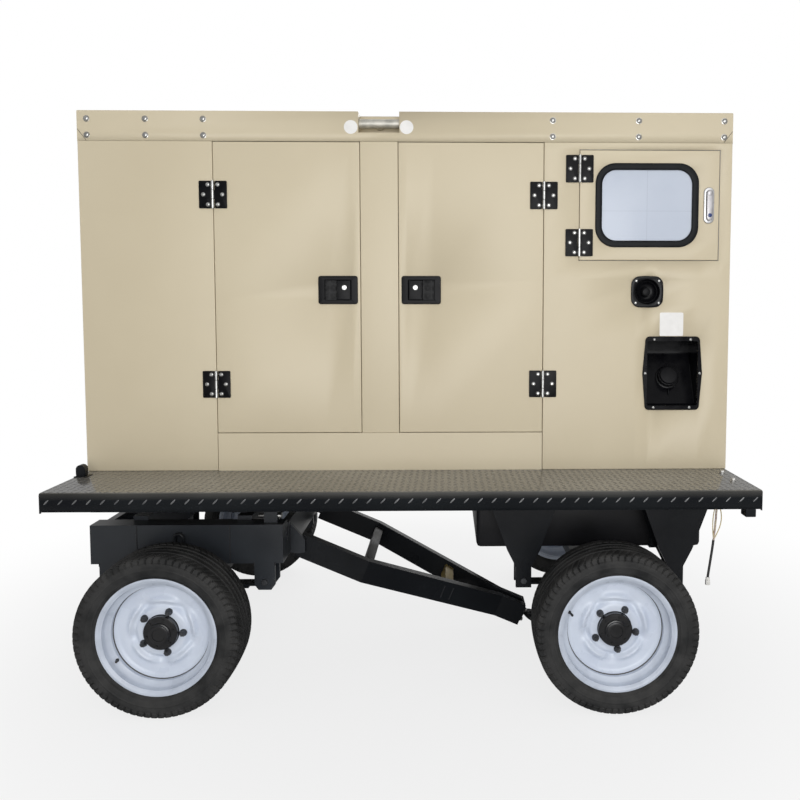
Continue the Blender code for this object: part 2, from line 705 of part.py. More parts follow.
def folded_panel(x, z, side, returns_x, face=FACE, depth=RETURN):
    """A sheet on a canopy side with folded returns; returns_x is where the returns start and stop."""
    outer = side * face
    inner = side * (face - SHEET)
    back = side * (face - SHEET - depth)
    adds = [block(x, (outer, inner), z), block(returns_x, (inner + side * 0.001, back), z)]
    low = returns_x[0] + SHEET if returns_x[0] == x[0] else returns_x[0] - 0.01
    high = returns_x[1] - SHEET if returns_x[1] == x[1] else returns_x[1] + 0.01
    hollow = block((low, high), (inner, back - side * 0.01), (z[0] + SHEET, z[1] - SHEET))
    return adds, [hollow]


def hinge_leaf(axis_x, side, z, towards, knuckles):
    """One leaf of a surface hinge and its knuckles; towards is the way, +1 or -1, it lies from the axis."""
    y = side * FACE
    plate = [
        block((axis_x + towards * (KNUCKLE_RADIUS + 0.001), axis_x + towards * HINGE_LEAF),
              (y - side * 0.0005, y + side * LEAF_PLATE), (z - HINGE_HEIGHT / 2, z + HINGE_HEIGHT / 2)),
    ]
    third = HINGE_HEIGHT / 6
    spans = {
        "outer": [(-HINGE_HEIGHT / 2, -third - GAP), (third, HINGE_HEIGHT / 2)],
        "middle": [(-third, third - GAP)],
    }
    for low, high in spans[knuckles]:
        plate.append(rod(KNUCKLE_RADIUS, "Z", (axis_x, side * HINGE_Y, 0), (z + low, z + high), 10))
        plate.append(block((axis_x, axis_x + towards * (KNUCKLE_RADIUS + 0.003)),
                           (y + side * 0.0015, y + side * LEAF_PLATE), (z + low, z + high)))
    return plate


def make_side_panels():
    """The corner panels beside the doors. The one on the near right carries the controls."""
    left_edge = POST_X - PANEL_EDGE
    right_edge = POST_X + PANEL_EDGE
    z = (PANEL_LOW, PANEL_HIGH)
    for side, word in ((-1, "near"), (1, "far")):
        adds, cuts = folded_panel((-HALF_LENGTH, left_edge), z, side,
                                  (CORNER_CLEAR - HALF_LENGTH, left_edge))
        for hinge_z in (UPPER_HINGE_Z, LOWER_HINGE_Z):
            adds += hinge_leaf(POST_X - DOOR_HINGED, side, hinge_z, -1, "outer")
        node(word + "_left_panel", SAND_PAINT, adds, cuts)
        adds, cuts = folded_panel((right_edge, HALF_LENGTH), z, side,
                                  (right_edge, HALF_LENGTH - CORNER_CLEAR))
        adds, cuts = [shell_of(adds, cuts)], []
        for hinge_z in (UPPER_HINGE_Z, LOWER_HINGE_Z):
            adds += hinge_leaf(POST_X + DOOR_HINGED, side, hinge_z, 1, "outer")
        if side == -1:
            control_adds, control_cuts = control_features()
            adds += control_adds
            cuts += control_cuts
        node(word + "_right_panel", SAND_PAINT, adds, cuts)


def control_features():
    """The control door's hinge leaves, the emergency stop's bezel and bowl, and the panel's openings."""
    adds = []
    for hinge_z in CONTROL_HINGE_Z:
        adds += hinge_leaf(CONTROL_LEFT - SHUT_GAP / 2, -1, hinge_z, -1, "outer")
    stop_x = HALF_LENGTH - STOP_TO_END
    centre = (stop_x, 0, STOP_Z)
    adds.append(prism(rounded(STOP_WIDTH, STOP_WIDTH - 0.004, 0.028, (stop_x, STOP_Z)), "Y",
                      (-FACE - 0.005, 0.0005 - FACE)))
    adds.append(rod(STOP_BOWL + 0.004, "Y", centre, (-FACE - 0.001, STOP_DEPTH + 0.004 - FACE), 20))
    door_hole = block((CONTROL_LEFT - SHUT_GAP, CONTROL_RIGHT + SHUT_GAP), (-FACE - 0.01, -FACE + 0.01),
                      (CONTROL_LOW - SHUT_GAP, CONTROL_HIGH + SHUT_GAP))
    bowl = rod(STOP_BOWL, "Y", centre, (-FACE - 0.02, STOP_DEPTH - FACE), 20)
    stem_hole = rod(0.0087, "Y", centre, (-FACE, STOP_DEPTH + 0.02 - FACE))
    filler_x = HALF_LENGTH - FILLER_TO_END
    margin = SHEET + GAP - FILLER_FLANGE
    half = FILLER_WIDTH / 2 + margin
    filler_hole = block((filler_x - half, filler_x + half), (-FACE - 0.01, -FACE + 0.01),
                        (FILLER_LOW - margin, FILLER_LOW + FILLER_HEIGHT + margin))
    return adds, [door_hole, bowl, stem_hole, filler_hole]


def make_posts():
    for side, word in ((-1, "near"), (1, "far")):
        x = (POST_X - POST_WIDTH / 2, POST_X + POST_WIDTH / 2)
        adds, cuts = folded_panel(x, (SKID_TOP + GAP, PANEL_HIGH), side, x)
        node(word + "_post", SAND_PAINT, adds, cuts)


def make_skid():
    """The base: a drip tray with two runners that carry the generating set."""
    inside = FACE - SHEET - RETURN - GAP
    end = HALF_LENGTH - CORNER_CLEAR - GAP
    flush = (POST_X - PANEL_EDGE + SHUT_GAP + GAP, POST_X + PANEL_EDGE - SHUT_GAP - GAP)
    z = (PANEL_LOW, SKID_TOP)
    adds = [block((-end, end), (-inside, inside), z), block(flush, (-FACE, FACE), z)]
    runner_in, runner_out = RUNNER_Y - RUNNER_WIDTH / 2, RUNNER_Y + RUNNER_WIDTH / 2
    wall = 0.004
    pocket_z = (PANEL_LOW + wall, SKID_TOP + 0.01)
    cuts = [block((wall - end, end - wall), (-runner_in, runner_in), pocket_z)]
    for side in (-1, 1):
        cuts.append(block((wall - end, end - wall), (side * runner_out, side * (inside - wall)), pocket_z))
    return node("base_skid", SAND_PAINT, adds, cuts)


def make_end_wall(name, side, openings):
    """An end wall with folded edges and slanted louvre blades across its openings."""
    half = FACE - SHEET - GAP
    x = side * HALF_LENGTH
    inner = x - side * SHEET
    back = inner - side * RETURN
    adds = [block((x, back), (-half, half), (PANEL_LOW, PANEL_HIGH))]
    cuts = [block((inner, back - side * 0.01), (SHEET - half, half - SHEET),
                  (PANEL_LOW + SHEET, PANEL_HIGH - SHEET))]
    reach = 0.360
    for low, high in openings:
        cuts.append(block((x + side * 0.01, back - side * 0.02), (-reach, reach), (low, high)))
    body = shell_of(adds, cuts)
    front = x - side * 0.0005
    blades = []
    for low, high in openings:
        count = round((high - low) / 0.100)
        pitch = (high - low) / count
        for index in range(count):
            z = low + (index + 0.5) * pitch
            outline = [(front, z - 0.040), (front, z - 0.036), (back, z + 0.040), (back, z + 0.036)]
            blades.append(prism(outline, "Y", (-reach - 0.002, reach + 0.002)))
    stays = [block((inner, back), (side_y * reach, side_y * (reach + 0.003)), (low - 0.004, high + 0.004))
             for low, high in openings for side_y in (-1, 1)]
    return node(name, SAND_PAINT, [body] + stays + blades)


def make_roof():
    """The roof cap, with a lifting recess in each long side."""
    x = (-HALF_LENGTH, HALF_LENGTH)
    cap = block(x, (-FACE, FACE), (BAND_LOW, CANOPY_TOP))
    inside = block((SHEET - HALF_LENGTH, HALF_LENGTH - SHEET), (SHEET - FACE, FACE - SHEET),
                   (BAND_LOW - 0.01, CANOPY_TOP - SHEET))
    adds, cuts = [shell_of([cap], [inside])], []
    half = LIFT_RECESS / 2
    back = FACE - LIFT_DEPTH
    floor = CANOPY_TOP - LIFT_DROP
    for side in (-1, 1):
        adds.append(block((POST_X - half - SHEET, POST_X + half + SHEET),
                          (side * (FACE - 0.001), side * back), (floor - SHEET, CANOPY_TOP - 0.001)))
        cuts.append(block((POST_X - half, POST_X + half),
                          (side * (FACE + 0.01), side * (back + SHEET)), (floor, CANOPY_TOP + 0.01)))
    cuts.append(rod(LIFT_BAR_RADIUS + GAP, "Y", (POST_X, 0, LIFT_Z), (-FACE + 0.03, FACE - 0.03)))
    return node("roof", SAND_PAINT, adds, cuts)


def make_lifting_bar():
    """A bar across each recess, joined through the canopy by one tube."""
    half = LIFT_RECESS / 2 - GAP
    bar_y = FACE - 0.040
    adds = [rod(LIFT_BAR_RADIUS, "Y", (POST_X, 0, LIFT_Z), (-bar_y, bar_y))]
    for side in (-1, 1):
        adds.append(rod(LIFT_BAR_RADIUS, "X", (0, side * bar_y, LIFT_Z), (POST_X - half, POST_X + half)))
    return node("lifting_bar", GREY_STEEL, adds)


# ---------------------------------------------------------------- doors

def make_door(name, side, hand):
    """A folded door hinged on its outer edge, with hinge leaves and the dish of its latch.

    hand is -1 for the left door and +1 for the right one: the way from the post to the hinges.
    """
    free = POST_X + hand * DOOR_FREE
    edge = POST_X + hand * (DOOR_FREE + DOOR_WIDTH)
    hinge_x = POST_X + hand * DOOR_HINGED
    x = (min(free, edge), max(free, edge))
    adds, cuts = folded_panel(x, (DOOR_LOW, DOOR_HIGH), side, x, depth=DOOR_RETURN)
    adds = [shell_of(adds, cuts)]
    for hinge_z in (UPPER_HINGE_Z, LOWER_HINGE_Z):
        adds += hinge_leaf(hinge_x, side, hinge_z, -hand, "middle")
    latch_x = free + hand * LATCH_INSET
    face = side * FACE
    adds.append(prism(rounded(LATCH_WIDTH, LATCH_HEIGHT, 0.010, (latch_x, LATCH_Z), 2), "Y",
                      (face + side * 0.003, face - side * 0.0005)))
    reach, rise = DISH_WIDTH / 2, DISH_HEIGHT / 2
    adds.append(block((latch_x - reach - SHEET, latch_x + reach + SHEET),
                      (face, face - side * (DISH_DEPTH + SHEET)),
                      (LATCH_Z - rise - SHEET, LATCH_Z + rise + SHEET)))
    dish = block((latch_x - reach, latch_x + reach), (face + side * 0.01, face - side * DISH_DEPTH),
                 (LATCH_Z - rise, LATCH_Z + rise))
    axis = (hinge_x, side * HINGE_Y, (DOOR_LOW + DOOR_HIGH) / 2)
    door = node(name + "_door", SAND_PAINT, adds, [dish], origin=axis)
    paddle_axis_x = latch_x - hand * (reach - 0.0055)
    axis_y = face - side * 0.003
    paddle_free = paddle_axis_x + hand * (PADDLE_WIDTH - 0.0055)
    paddle_rise = rise - GAP
    paddle = [
        rod(0.005, "Z", (paddle_axis_x, axis_y, 0), (LATCH_Z - paddle_rise, LATCH_Z + paddle_rise), 10),
        block((paddle_axis_x, paddle_free), (face + side * 0.0015, face - side * 0.004),
              (LATCH_Z - rise + 0.001, LATCH_Z + rise - 0.001)),
    ]
    node(name + "_paddle", BLACK_PLASTIC, paddle, origin=(paddle_axis_x, axis_y, LATCH_Z), parent=door)


def window_outline(border, radius):
    """The window's outline with a border added all round."""
    middle_x, _, middle_z = WINDOW_MIDDLE
    return rounded(WINDOW_WIDTH + 2 * border, WINDOW_HEIGHT + 2 * border, radius, (middle_x, middle_z))


def make_control_door():
    """The control door, its rubber-framed window and the swing handle with its escutcheon."""
    x = (CONTROL_LEFT, CONTROL_RIGHT)
    adds, cuts = folded_panel(x, (CONTROL_LOW, CONTROL_HIGH), -1, x, depth=CONTROL_RETURN)
    adds = [shell_of(adds, cuts)]
    hinge_x = CONTROL_LEFT - SHUT_GAP / 2
    for hinge_z in CONTROL_HINGE_Z:
        adds += hinge_leaf(hinge_x, -1, hinge_z, 1, "middle")
    handle_x = CONTROL_RIGHT - HANDLE_TO_EDGE
    adds.append(prism(rounded(HANDLE_WIDTH, HANDLE_LENGTH, 0.018, (handle_x, HANDLE_Z)), "Y",
                      (-FACE - 0.006, 0.0005 - FACE)))
    neck = SEAL_WIDTH - 0.014
    hole = prism(window_outline(neck, 0.070), "Y", (-FACE - 0.02, -FACE + 0.02))
    axis = (hinge_x, -HINGE_Y, (CONTROL_LOW + CONTROL_HIGH) / 2)
    door = node("control_door", SAND_PAINT, adds, [hole], origin=axis)

    inner = SHEET + GAP - FACE
    lip = prism(window_outline(SEAL_WIDTH, 0.080), "Y", (-FACE - SEAL_PROUD, -FACE - GAP))
    waist = prism(window_outline(neck - GAP, 0.070), "Y", (-FACE - 0.001, inner + 0.001))
    back = prism(window_outline(SEAL_WIDTH - 0.005, 0.076), "Y", (inner, inner + 0.004))
    front = prism(window_outline(0.0, 0.058), "Y", (-FACE - 0.02, -FACE - 0.001))
    behind = prism(window_outline(0.0, 0.058), "Y", (PANE - 0.001 - FACE, 0.03 - FACE))
    node("control_window", FILM, [lip, waist, back], [front, behind], origin=WINDOW_MIDDLE, parent=door)

    pivot_z = HANDLE_Z + HANDLE_LENGTH / 2 - 0.024
    near, out = -FACE - 0.006 - GAP, -FACE - 0.018
    lever = [prism(rounded(0.026, HANDLE_LENGTH - 0.022, 0.012, (handle_x, HANDLE_Z)), "Y", (near, out))]
    node("control_door_handle", GREY_STEEL, lever, origin=(handle_x, out, pivot_z), parent=door)


# ---------------------------------------------------------------- controls on the panel

def make_stop_button():
    """A mushroom button in the bowl, on a stem that passes through the bowl's floor."""
    x = HALF_LENGTH - STOP_TO_END
    head_back = STOP_DEPTH - STOP_TRAVEL - 0.001
    profile = [
        (0, head_back - 0.014), (0.013, head_back - 0.014), (0.018, head_back - 0.009),
        (0.018, head_back), (0.008, head_back), (0.008, STOP_DEPTH + 0.012), (0, STOP_DEPTH + 0.012),
    ]
    node("emergency_stop_button", BLACK_PLASTIC, [turned(profile, "Y", (x, -FACE, STOP_Z), 14)],
         origin=(x, -FACE + head_back, STOP_Z), smooth=True)


def make_filler():
    """The filler recess, whose floor slants out towards the bottom, its neck and its cap."""
    x = HALF_LENGTH - FILLER_TO_END
    top = FILLER_LOW + FILLER_HEIGHT
    half = FILLER_WIDTH / 2 - FILLER_FLANGE
    low, high = FILLER_LOW + FILLER_FLANGE, top - FILLER_FLANGE
    wall = SHEET
    knee = high - 0.055
    sill = 0.030
    floor = FILLER_DEPTH - FACE
    middle = FILLER_LOW + FILLER_HEIGHT / 2
    end = FILLER_WIDTH / 2 - 0.012
    flange = [
        (x - end, FILLER_LOW), (x + end, FILLER_LOW), (x + FILLER_WIDTH / 2, middle),
        (x + end, top), (x - end, top), (x - FILLER_WIDTH / 2, middle),
    ]
    front = -FACE - 0.004
    inside = [(front - 0.01, low), (sill - FACE, low), (floor, knee), (floor, high), (front - 0.01, high)]
    shell = [
        (-FACE - 0.001, low - wall), (sill + wall - FACE, low - wall), (floor + wall, knee - wall),
        (floor + wall, high + wall), (-FACE - 0.001, high + wall),
    ]
    slope = math.atan2(FILLER_DEPTH - sill, knee - low)
    seat_z = low + 0.062 + 0.045
    seat_y = -FACE + sill + (seat_z - low) * math.tan(slope)
    out = Vector((0, -math.cos(slope), math.sin(slope)))
    place = Matrix.Translation((x, seat_y, seat_z)) @ out.to_track_quat("Z", "Y").to_matrix().to_4x4()
    neck = [(0, -0.012), (NECK_RADIUS, -0.012), (NECK_RADIUS, 0.022), (0, 0.022)]
    adds = [
        prism(flange, "Y", (front, -FACE - GAP)),
        prism(shell, "X", (x - half - wall, x + half + wall)),
    ]
    recess = prism(inside, "X", (x - half, x + half))
    node("fuel_filler_box", BLACK_PLASTIC,
         [shell_of(adds, [recess]), moved(turned(neck, "Z", (0, 0, 0), 16), place)])
    bore = bore_for(NECK_RADIUS, 16)
    cap = [(bore, 0.006), (CAP_RADIUS, 0.006), (CAP_RADIUS, 0.028), (CAP_RADIUS - 0.006, 0.034), (0, 0.034),
           (0, 0.022 + GAP), (bore, 0.022 + GAP)]
    node("fuel_cap", BLACK_PLASTIC, [moved(turned(cap, "Z", (0, 0, 0), 16), place)],
         origin=place @ Vector((0, 0, 0.006)))


# ---------------------------------------------------------------- generating set

def make_engine():
    """A four-cylinder diesel on four feet, with manifold, filter, flywheel housing and fan shaft."""
    right = ENGINE_RIGHT
    left = right - ENGINE_LENGTH
    half = ENGINE_HALF
    adds = [
        block((left, right), (-half, half), (1.140, 1.520)),
        block((left + 0.06, right - 0.06), (-0.120, 0.120), (1.050, 1.150)),
        block((left + 0.02, right - 0.02), (-0.110, 0.110), (1.515, 1.620)),
        block((left + 0.05, right - 0.05), (-0.070, 0.070), (1.615, 1.680)),
        rod(HOUSING_RADIUS, "X", (0, 0, CRANK_Z), (right - 0.005, right + 0.060), 20),
        rod(0.045, "X", (0, 0, FAN_Z), (left + 0.01, left - 0.040)),
        rod(FAN_SHAFT, "X", (0, 0, FAN_Z), (left - 0.020, left - 0.090)),
        rod(0.075, "X", (0, -0.200, 1.590), (left + 0.10, right - 0.12), 14),
        block((left + 0.20, left + 0.28), (-0.190, -0.100), (1.560, 1.610)),
        block((left + 0.08, right - 0.10), (half - 0.01, 0.215), (1.440, 1.510)),
        rod(0.030, "Z", (left + 0.30, 0.185, 0), (1.500, 1.740)),
        rod(0.045, "X", (0, -half - 0.030, 1.220), (left + 0.14, left + 0.34)),
        block((left + 0.18, left + 0.30), (-half - 0.03, 0.01 - half), (1.190, 1.250)),
    ]
    foot = RUNNER_Y + RUNNER_WIDTH / 2 - 0.005
    for x in (left + 0.09, right - 0.09):
        adds.append(block((x - 0.035, x + 0.035), (-foot, foot), (1.170, 1.200)))
        for side in (-1, 1):
            adds.append(block((x - 0.030, x + 0.030), (side * (foot - 0.050), side * (foot - 0.004)),
                              (SKID_TOP + GAP, 1.190)))
    return node("engine", ENGINE_PAINT, adds, smooth=True)


def make_fan():
    """A six-blade pusher fan on the engine's fan shaft."""
    shaft_end = ENGINE_RIGHT - ENGINE_LENGTH - 0.090
    back = shaft_end + 0.035
    front = shaft_end - 0.020
    bore = bore_for(FAN_SHAFT)
    hub = [(0, front), (0.050, front), (0.050, back), (bore, back), (bore, shaft_end - GAP),
           (0, shaft_end - GAP)]
    middle = (front + back) / 2
    adds = [turned(hub, "X", (0, 0, FAN_Z), 12)]
    for index in range(6):
        blade = block((-0.035, 0.035), (0.040, FAN_RADIUS), (-0.0015, 0.0015))
        twist = Matrix.Rotation(math.radians(32), 4, "Y")
        spin = Matrix.Rotation(math.radians(60 * index), 4, "X")
        adds.append(moved(blade, Matrix.Translation((middle, 0, FAN_Z)) @ spin @ twist))
    return node("cooling_fan", BLACK_PLASTIC, adds, origin=(middle, 0, FAN_Z))


def make_radiator():
    """A core between two tanks, standing on the runners, with the fan's shroud."""
    shaft_end = ENGINE_RIGHT - ENGINE_LENGTH - 0.090
    back = shaft_end - 0.075
    front = back - 0.070
    adds = [
        block((front, back), (-0.350, 0.350), (1.060, 1.700)),
        block((front - 0.015, back + 0.010), (-0.370, 0.370), (1.690, 1.760)),
        block((front - 0.015, back + 0.010), (-0.370, 0.370), (SKID_TOP + GAP, 1.070)),
        rod(0.028, "Z", ((front + back) / 2, 0.10, 0), (1.75, 1.790)),
    ]
    inner, outer = FAN_RADIUS + 0.012, FAN_RADIUS + 0.018
    ring = [(inner, back - 0.005), (inner, back + 0.085), (outer, back + 0.085), (outer, back - 0.005)]
    adds.append(turned(ring, "X", (0, 0, FAN_Z), 20))
    return node("radiator", CAST_IRON, adds)


def make_alternator():
    """The alternator, bolted to the flywheel housing, with its feet and terminal box."""
    left = ENGINE_RIGHT + 0.060 + GAP
    right = left + ALTERNATOR_LENGTH
    radius = ALTERNATOR_RADIUS
    flange = HOUSING_RADIUS - 0.005
    profile = [
        (0, left), (flange, left), (flange, left + 0.030), (radius, left + 0.040),
        (radius, right - 0.060), (radius - 0.050, right), (0, right),
    ]
    adds = [turned(profile, "X", (0, 0, CRANK_Z), 20)]
    adds.append(block((left + 0.20, right - 0.12), (-0.130, 0.130), (CRANK_Z + 0.120, 1.640)))
    foot = RUNNER_Y + RUNNER_WIDTH / 2 - 0.005
    for side in (-1, 1):
        outline = [(side * 0.110, 1.150), (side * 0.170, 1.220), (side * foot, SKID_TOP + 0.020),
                   (side * foot, SKID_TOP + GAP), (side * (foot - 0.055), SKID_TOP + GAP)]
        adds.append(prism(outline, "X", (left + 0.10, right - 0.10)))
    return node("alternator", ENGINE_PAINT, adds, smooth=True)


def make_muffler():
    """A silencer standing on the rocker cover, fed from the manifold, with its tail towards the radiator."""
    x = ENGINE_RIGHT - ENGINE_LENGTH + 0.30
    left, right = x - 0.22, x + 0.25
    z = 1.900
    y = 0.100
    adds = [
        rod(MUFFLER_RADIUS, "X", (0, y, z), (left, right), 16),
        rod(0.030, "Z", (x, 0.185, 0), (1.740 + GAP, z + 0.01)),
        rod(0.026, "X", (0, y, z), (left - 0.45, left + 0.01)),
        rod(0.026, "Z", (left - 0.43, y, 0), (z, 2.080)),
    ]
    for leg in (x - 0.15, x + 0.12):
        adds.append(block((leg - 0.015, leg + 0.015), (0.020, 0.066), (1.680 + GAP, z)))
    return node("muffler", CAST_IRON, adds, smooth=True)


def make_battery():
    low = PANEL_LOW + 0.004 + GAP
    inside = FACE - SHEET - RETURN - GAP - 0.004
    y = (-inside + 0.012, -RUNNER_Y - RUNNER_WIDTH / 2 - 0.012)
    case = block((0.640, 0.900), y, (low, low + 0.200))
    posts = [rod(0.010, "Z", (px, sum(y) / 2, 0), (low + 0.19, low + 0.218), 8) for px in (0.680, 0.860)]
    return node("battery", BLACK_PLASTIC, [case] + posts)


def make_control_panel():
    """The instrument enclosure behind the control door: a deep box, open to the front."""
    margin = 0.014
    outer = block((CONTROL_LEFT - margin, CONTROL_RIGHT + margin), (SHEET + GAP - FACE, -0.280),
                  (CONTROL_LOW - margin, CONTROL_HIGH + margin))
    bay = block((CONTROL_LEFT - SHUT_GAP, CONTROL_RIGHT + SHUT_GAP), (-FACE, -0.330),
                (CONTROL_LOW - SHUT_GAP, CONTROL_HIGH + SHUT_GAP))
    return node("control_panel", CAST_IRON, [outer], [bay])


# ---------------------------------------------------------------- assembly

def build():
    clear_scene()
    make_deck()
    make_chassis()
    make_turntable_ring()
    make_axle("rear_axle", REAR_X)
    make_spring("rear_spring_near", REAR_X, -1)
    make_spring("rear_spring_far", REAR_X, 1)
    make_under_deck_tank()
    make_lamp_lead()

    bogie = pivot("bogie_pivot", (KING_X, 0, RING_LOW))
    make_bogie(bogie)
    make_stay_pin(bogie)
    make_axle("front_axle", KING_X, bogie)
    make_spring("front_spring_near", KING_X, -1, bogie)
    make_spring("front_spring_far", KING_X, 1, bogie)
    drawbar = pivot("drawbar_pivot", (KING_X + DRAWBAR_HINGE_OUT, 0, DRAWBAR_HINGE_Z), bogie)
    make_drawbar(drawbar)
    for word, x, carrier in (("front", KING_X, bogie), ("rear", REAR_X, None)):
        for side, hand in ((-1, "near"), (1, "far")):
            turn = pivot("wheel_pivot_" + word + "_" + hand, (x, side * WHEEL_Y, TYRE_RADIUS), carrier)
            make_wheel(word + "_" + hand, x, side, turn)

    make_skid()
    make_side_panels()
    make_posts()
    make_end_wall("left_end_wall", -1, [(1.080, 1.980)])
    make_end_wall("right_end_wall", 1, [(0.950, 1.250), (1.650, 2.050)])
    make_roof()
    make_lifting_bar()
    for side, word in ((-1, "near"), (1, "far")):
        make_door(word + "_left", side, -1)
        make_door(word + "_right", side, 1)
    make_control_door()
    make_stop_button()
    make_filler()

    make_engine()
    make_fan()
    make_radiator()
    make_alternator()
    make_muffler()
    make_battery()
    make_control_panel()


build()
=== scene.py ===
"""Towable diesel generator: the look of each piece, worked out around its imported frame.

Metres, +Z up. The turntable bogie is at -X and the control side at -Y.
"""

import math

import bmesh
import bpy
import numpy as np
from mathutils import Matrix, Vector


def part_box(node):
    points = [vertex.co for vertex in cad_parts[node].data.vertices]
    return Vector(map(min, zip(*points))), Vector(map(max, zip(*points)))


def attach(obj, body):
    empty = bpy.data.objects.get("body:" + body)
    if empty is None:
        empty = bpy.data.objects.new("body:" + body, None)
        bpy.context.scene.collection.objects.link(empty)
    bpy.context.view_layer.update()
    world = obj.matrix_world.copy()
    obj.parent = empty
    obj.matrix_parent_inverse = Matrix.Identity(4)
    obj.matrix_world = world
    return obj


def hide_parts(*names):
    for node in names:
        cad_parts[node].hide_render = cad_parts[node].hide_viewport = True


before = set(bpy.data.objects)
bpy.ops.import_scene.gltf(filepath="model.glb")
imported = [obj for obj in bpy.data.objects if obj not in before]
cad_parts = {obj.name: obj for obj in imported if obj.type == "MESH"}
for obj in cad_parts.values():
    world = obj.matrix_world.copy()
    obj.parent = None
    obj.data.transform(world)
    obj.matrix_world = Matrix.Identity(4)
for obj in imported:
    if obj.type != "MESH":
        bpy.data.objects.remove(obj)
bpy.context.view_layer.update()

# Sizes that several pieces share.
END_X = 1.3             # half length of deck and canopy
DECK_HALF = 0.8675      # half width of the deck
DECK_TOP = 0.847
FACE = 0.4925           # half width of the canopy
ROOF_TOP = 2.283
PANEL_LOW, PANEL_HIGH = 0.8473, 2.1647
FRONT_AXLE_X, REAR_AXLE_X = -0.905, 0.784
WHEEL_MIDDLE_Y = 0.76
TYRE_RADIUS = 0.3056    # also the height of the axles
POST_X = -0.114
LATCH_Z = 1.578
HINGE_PIN_Y = 0.499
FRAME_Y = 0.5           # outer face of the bogie's side beams


# ---- Camera and studio
# The camera stands a little right of the middle at chest height and looks slightly down.
# A pale floor runs out to a white surround, and three wide soft lamps light the set evenly.
def node(tree, kind, *fed, **settings):
    """A shader node with its own settings, fed (input, value) pairs: a value may be another node's socket."""
    made = tree.nodes.new("ShaderNode" + kind)
    for name, value in settings.items():
        setattr(made, name, value)
    for slot, value in fed:
        if isinstance(value, bpy.types.NodeSocket):
            tree.links.new(value, made.inputs[slot])
        else:
            made.inputs[slot].default_value = value
    return made


def place_in_scene(name, data):
    """A new object for some data, linked to the scene."""
    item = bpy.data.objects.new(name, data)
    bpy.context.scene.collection.objects.link(item)
    return item


camera = place_in_scene("camera", bpy.data.cameras.new("camera"))
camera.location = (0.1573, -3.5994, 1.4954)
camera.rotation_euler = (math.pi / 2 - 0.0639, 0.0, -0.0184)
camera.data.sensor_width = 36.0
camera.data.lens = 34.62
camera.data.shift_x = -0.0769
camera.data.shift_y = -0.0501
camera.data.clip_end = 200.0
bpy.context.scene.camera = camera
bpy.context.scene.view_settings.view_transform = "Standard"

for lamp_name, spot, aim, width, watts in (
    ("lamp_front", (2.0, -6.4, 3.8), (0.1, 0.0, 1.2), 4.5, 95.0),
    ("lamp_low", (0.3, -6.4, 0.9), (0.1, 0.0, 0.9), 4.0, 180.0),
    ("lamp_back", (0.5, 6.0, 5.0), (0.0, 0.0, 1.0), 5.0, 220.0),
):
    lamp = place_in_scene(lamp_name, bpy.data.lights.new(lamp_name, "AREA"))
    lamp.data.size = width
    lamp.data.energy = watts
    lamp.location = spot
    lamp.rotation_euler = Vector(np.subtract(aim, spot)).to_track_quat("-Z", "Y").to_euler()

WHITE = (1.0, 1.0, 1.0, 1.0)
world = bpy.data.worlds.new("studio_world")
bpy.context.scene.world = world
world.use_nodes = True
sky = world.node_tree
sky.nodes.clear()
ray = node(sky, "LightPath")
seen_or_through = node(sky, "Math", (0, ray.outputs["Is Camera Ray"]), (1, ray.outputs["Is Transmission Ray"]),
                       operation="MAXIMUM")
ambient = node(sky, "Background", ("Color", WHITE), ("Strength", 0.5))
surround = node(sky, "Background", ("Color", WHITE), ("Strength", 1.0))
sky_mix = node(sky, "MixShader", ("Fac", seen_or_through.outputs[0]), (1, ambient.outputs[0]),
               (2, surround.outputs[0]))
node(sky, "OutputWorld", ("Surface", sky_mix.outputs[0]))

floor_mesh = bpy.data.meshes.new("floor")
floor_mesh.from_pydata([(-60, -60, 0), (60, -60, 0), (60, 60, 0), (-60, 60, 0)], [], [(0, 1, 2, 3)])
floor_paper = bpy.data.materials.new("floor_paper")
floor_paper.use_nodes = True
paper = floor_paper.node_tree
floor_shader = paper.nodes["Principled BSDF"]
floor_shader.inputs["Base Color"].default_value = (0.6, 0.6, 0.6, 1.0)
floor_shader.inputs["Roughness"].default_value = 0.9
floor_shader.inputs["Specular IOR Level"].default_value = 0.1
reach = node(paper, "VectorMath", (0, node(paper, "TexCoord").outputs["Object"]), operation="LENGTH")
fade = node(paper, "MapRange", ("Value", reach.outputs["Value"]), ("From Min", 1.2), ("From Max", 3.0),
            ("To Min", 0.8), interpolation_type="SMOOTHSTEP")
seen = node(paper, "Math", (0, fade.outputs["Result"]), (1, node(paper, "LightPath").outputs["Is Camera Ray"]),
            operation="MULTIPLY")
paper_mix = node(paper, "MixShader", ("Fac", seen.outputs[0]), (1, floor_shader.outputs[0]),
                 (2, node(paper, "Emission").outputs[0]))
paper.links.new(paper_mix.outputs[0], paper.nodes["Material Output"].inputs["Surface"])
floor_mesh.materials.append(floor_paper)
place_in_scene("floor", floor_mesh)


# ---- Shapes and finishes
# Rings of points are skinned into solids. Every finish is two near colours in soft patches under a fine grain, with
# dust on some of them; on the deck's top the same dust mask paints the canopy's reflection.
def skin(rings, ends="capped"):
    """Points and faces of a stack of rings.

    Point i of ring j joins point i + 1 of its ring and point i of ring j + 1. "capped" closes the
    first and last ring with a flat face, "joined" joins the last ring to the first, and "open" does neither.
    """
    rings = np.asarray(rings, float)
    count, around, _ = rings.shape
    rows = count if ends == "joined" else count - 1
    j, i = np.meshgrid(np.arange(rows), np.arange(around), indexing="ij")
    after_i, after_j = (i + 1) % around, (j + 1) % count
    quads = np.stack([j * around + i, j * around + after_i, after_j * around + after_i, after_j * around + i], -1)
    faces = quads.reshape(-1, 4).tolist()
    if ends == "capped":
        faces += [list(range(around)), list(range((count - 1) * around, count * around))]
    return rings.reshape(-1, 3), faces


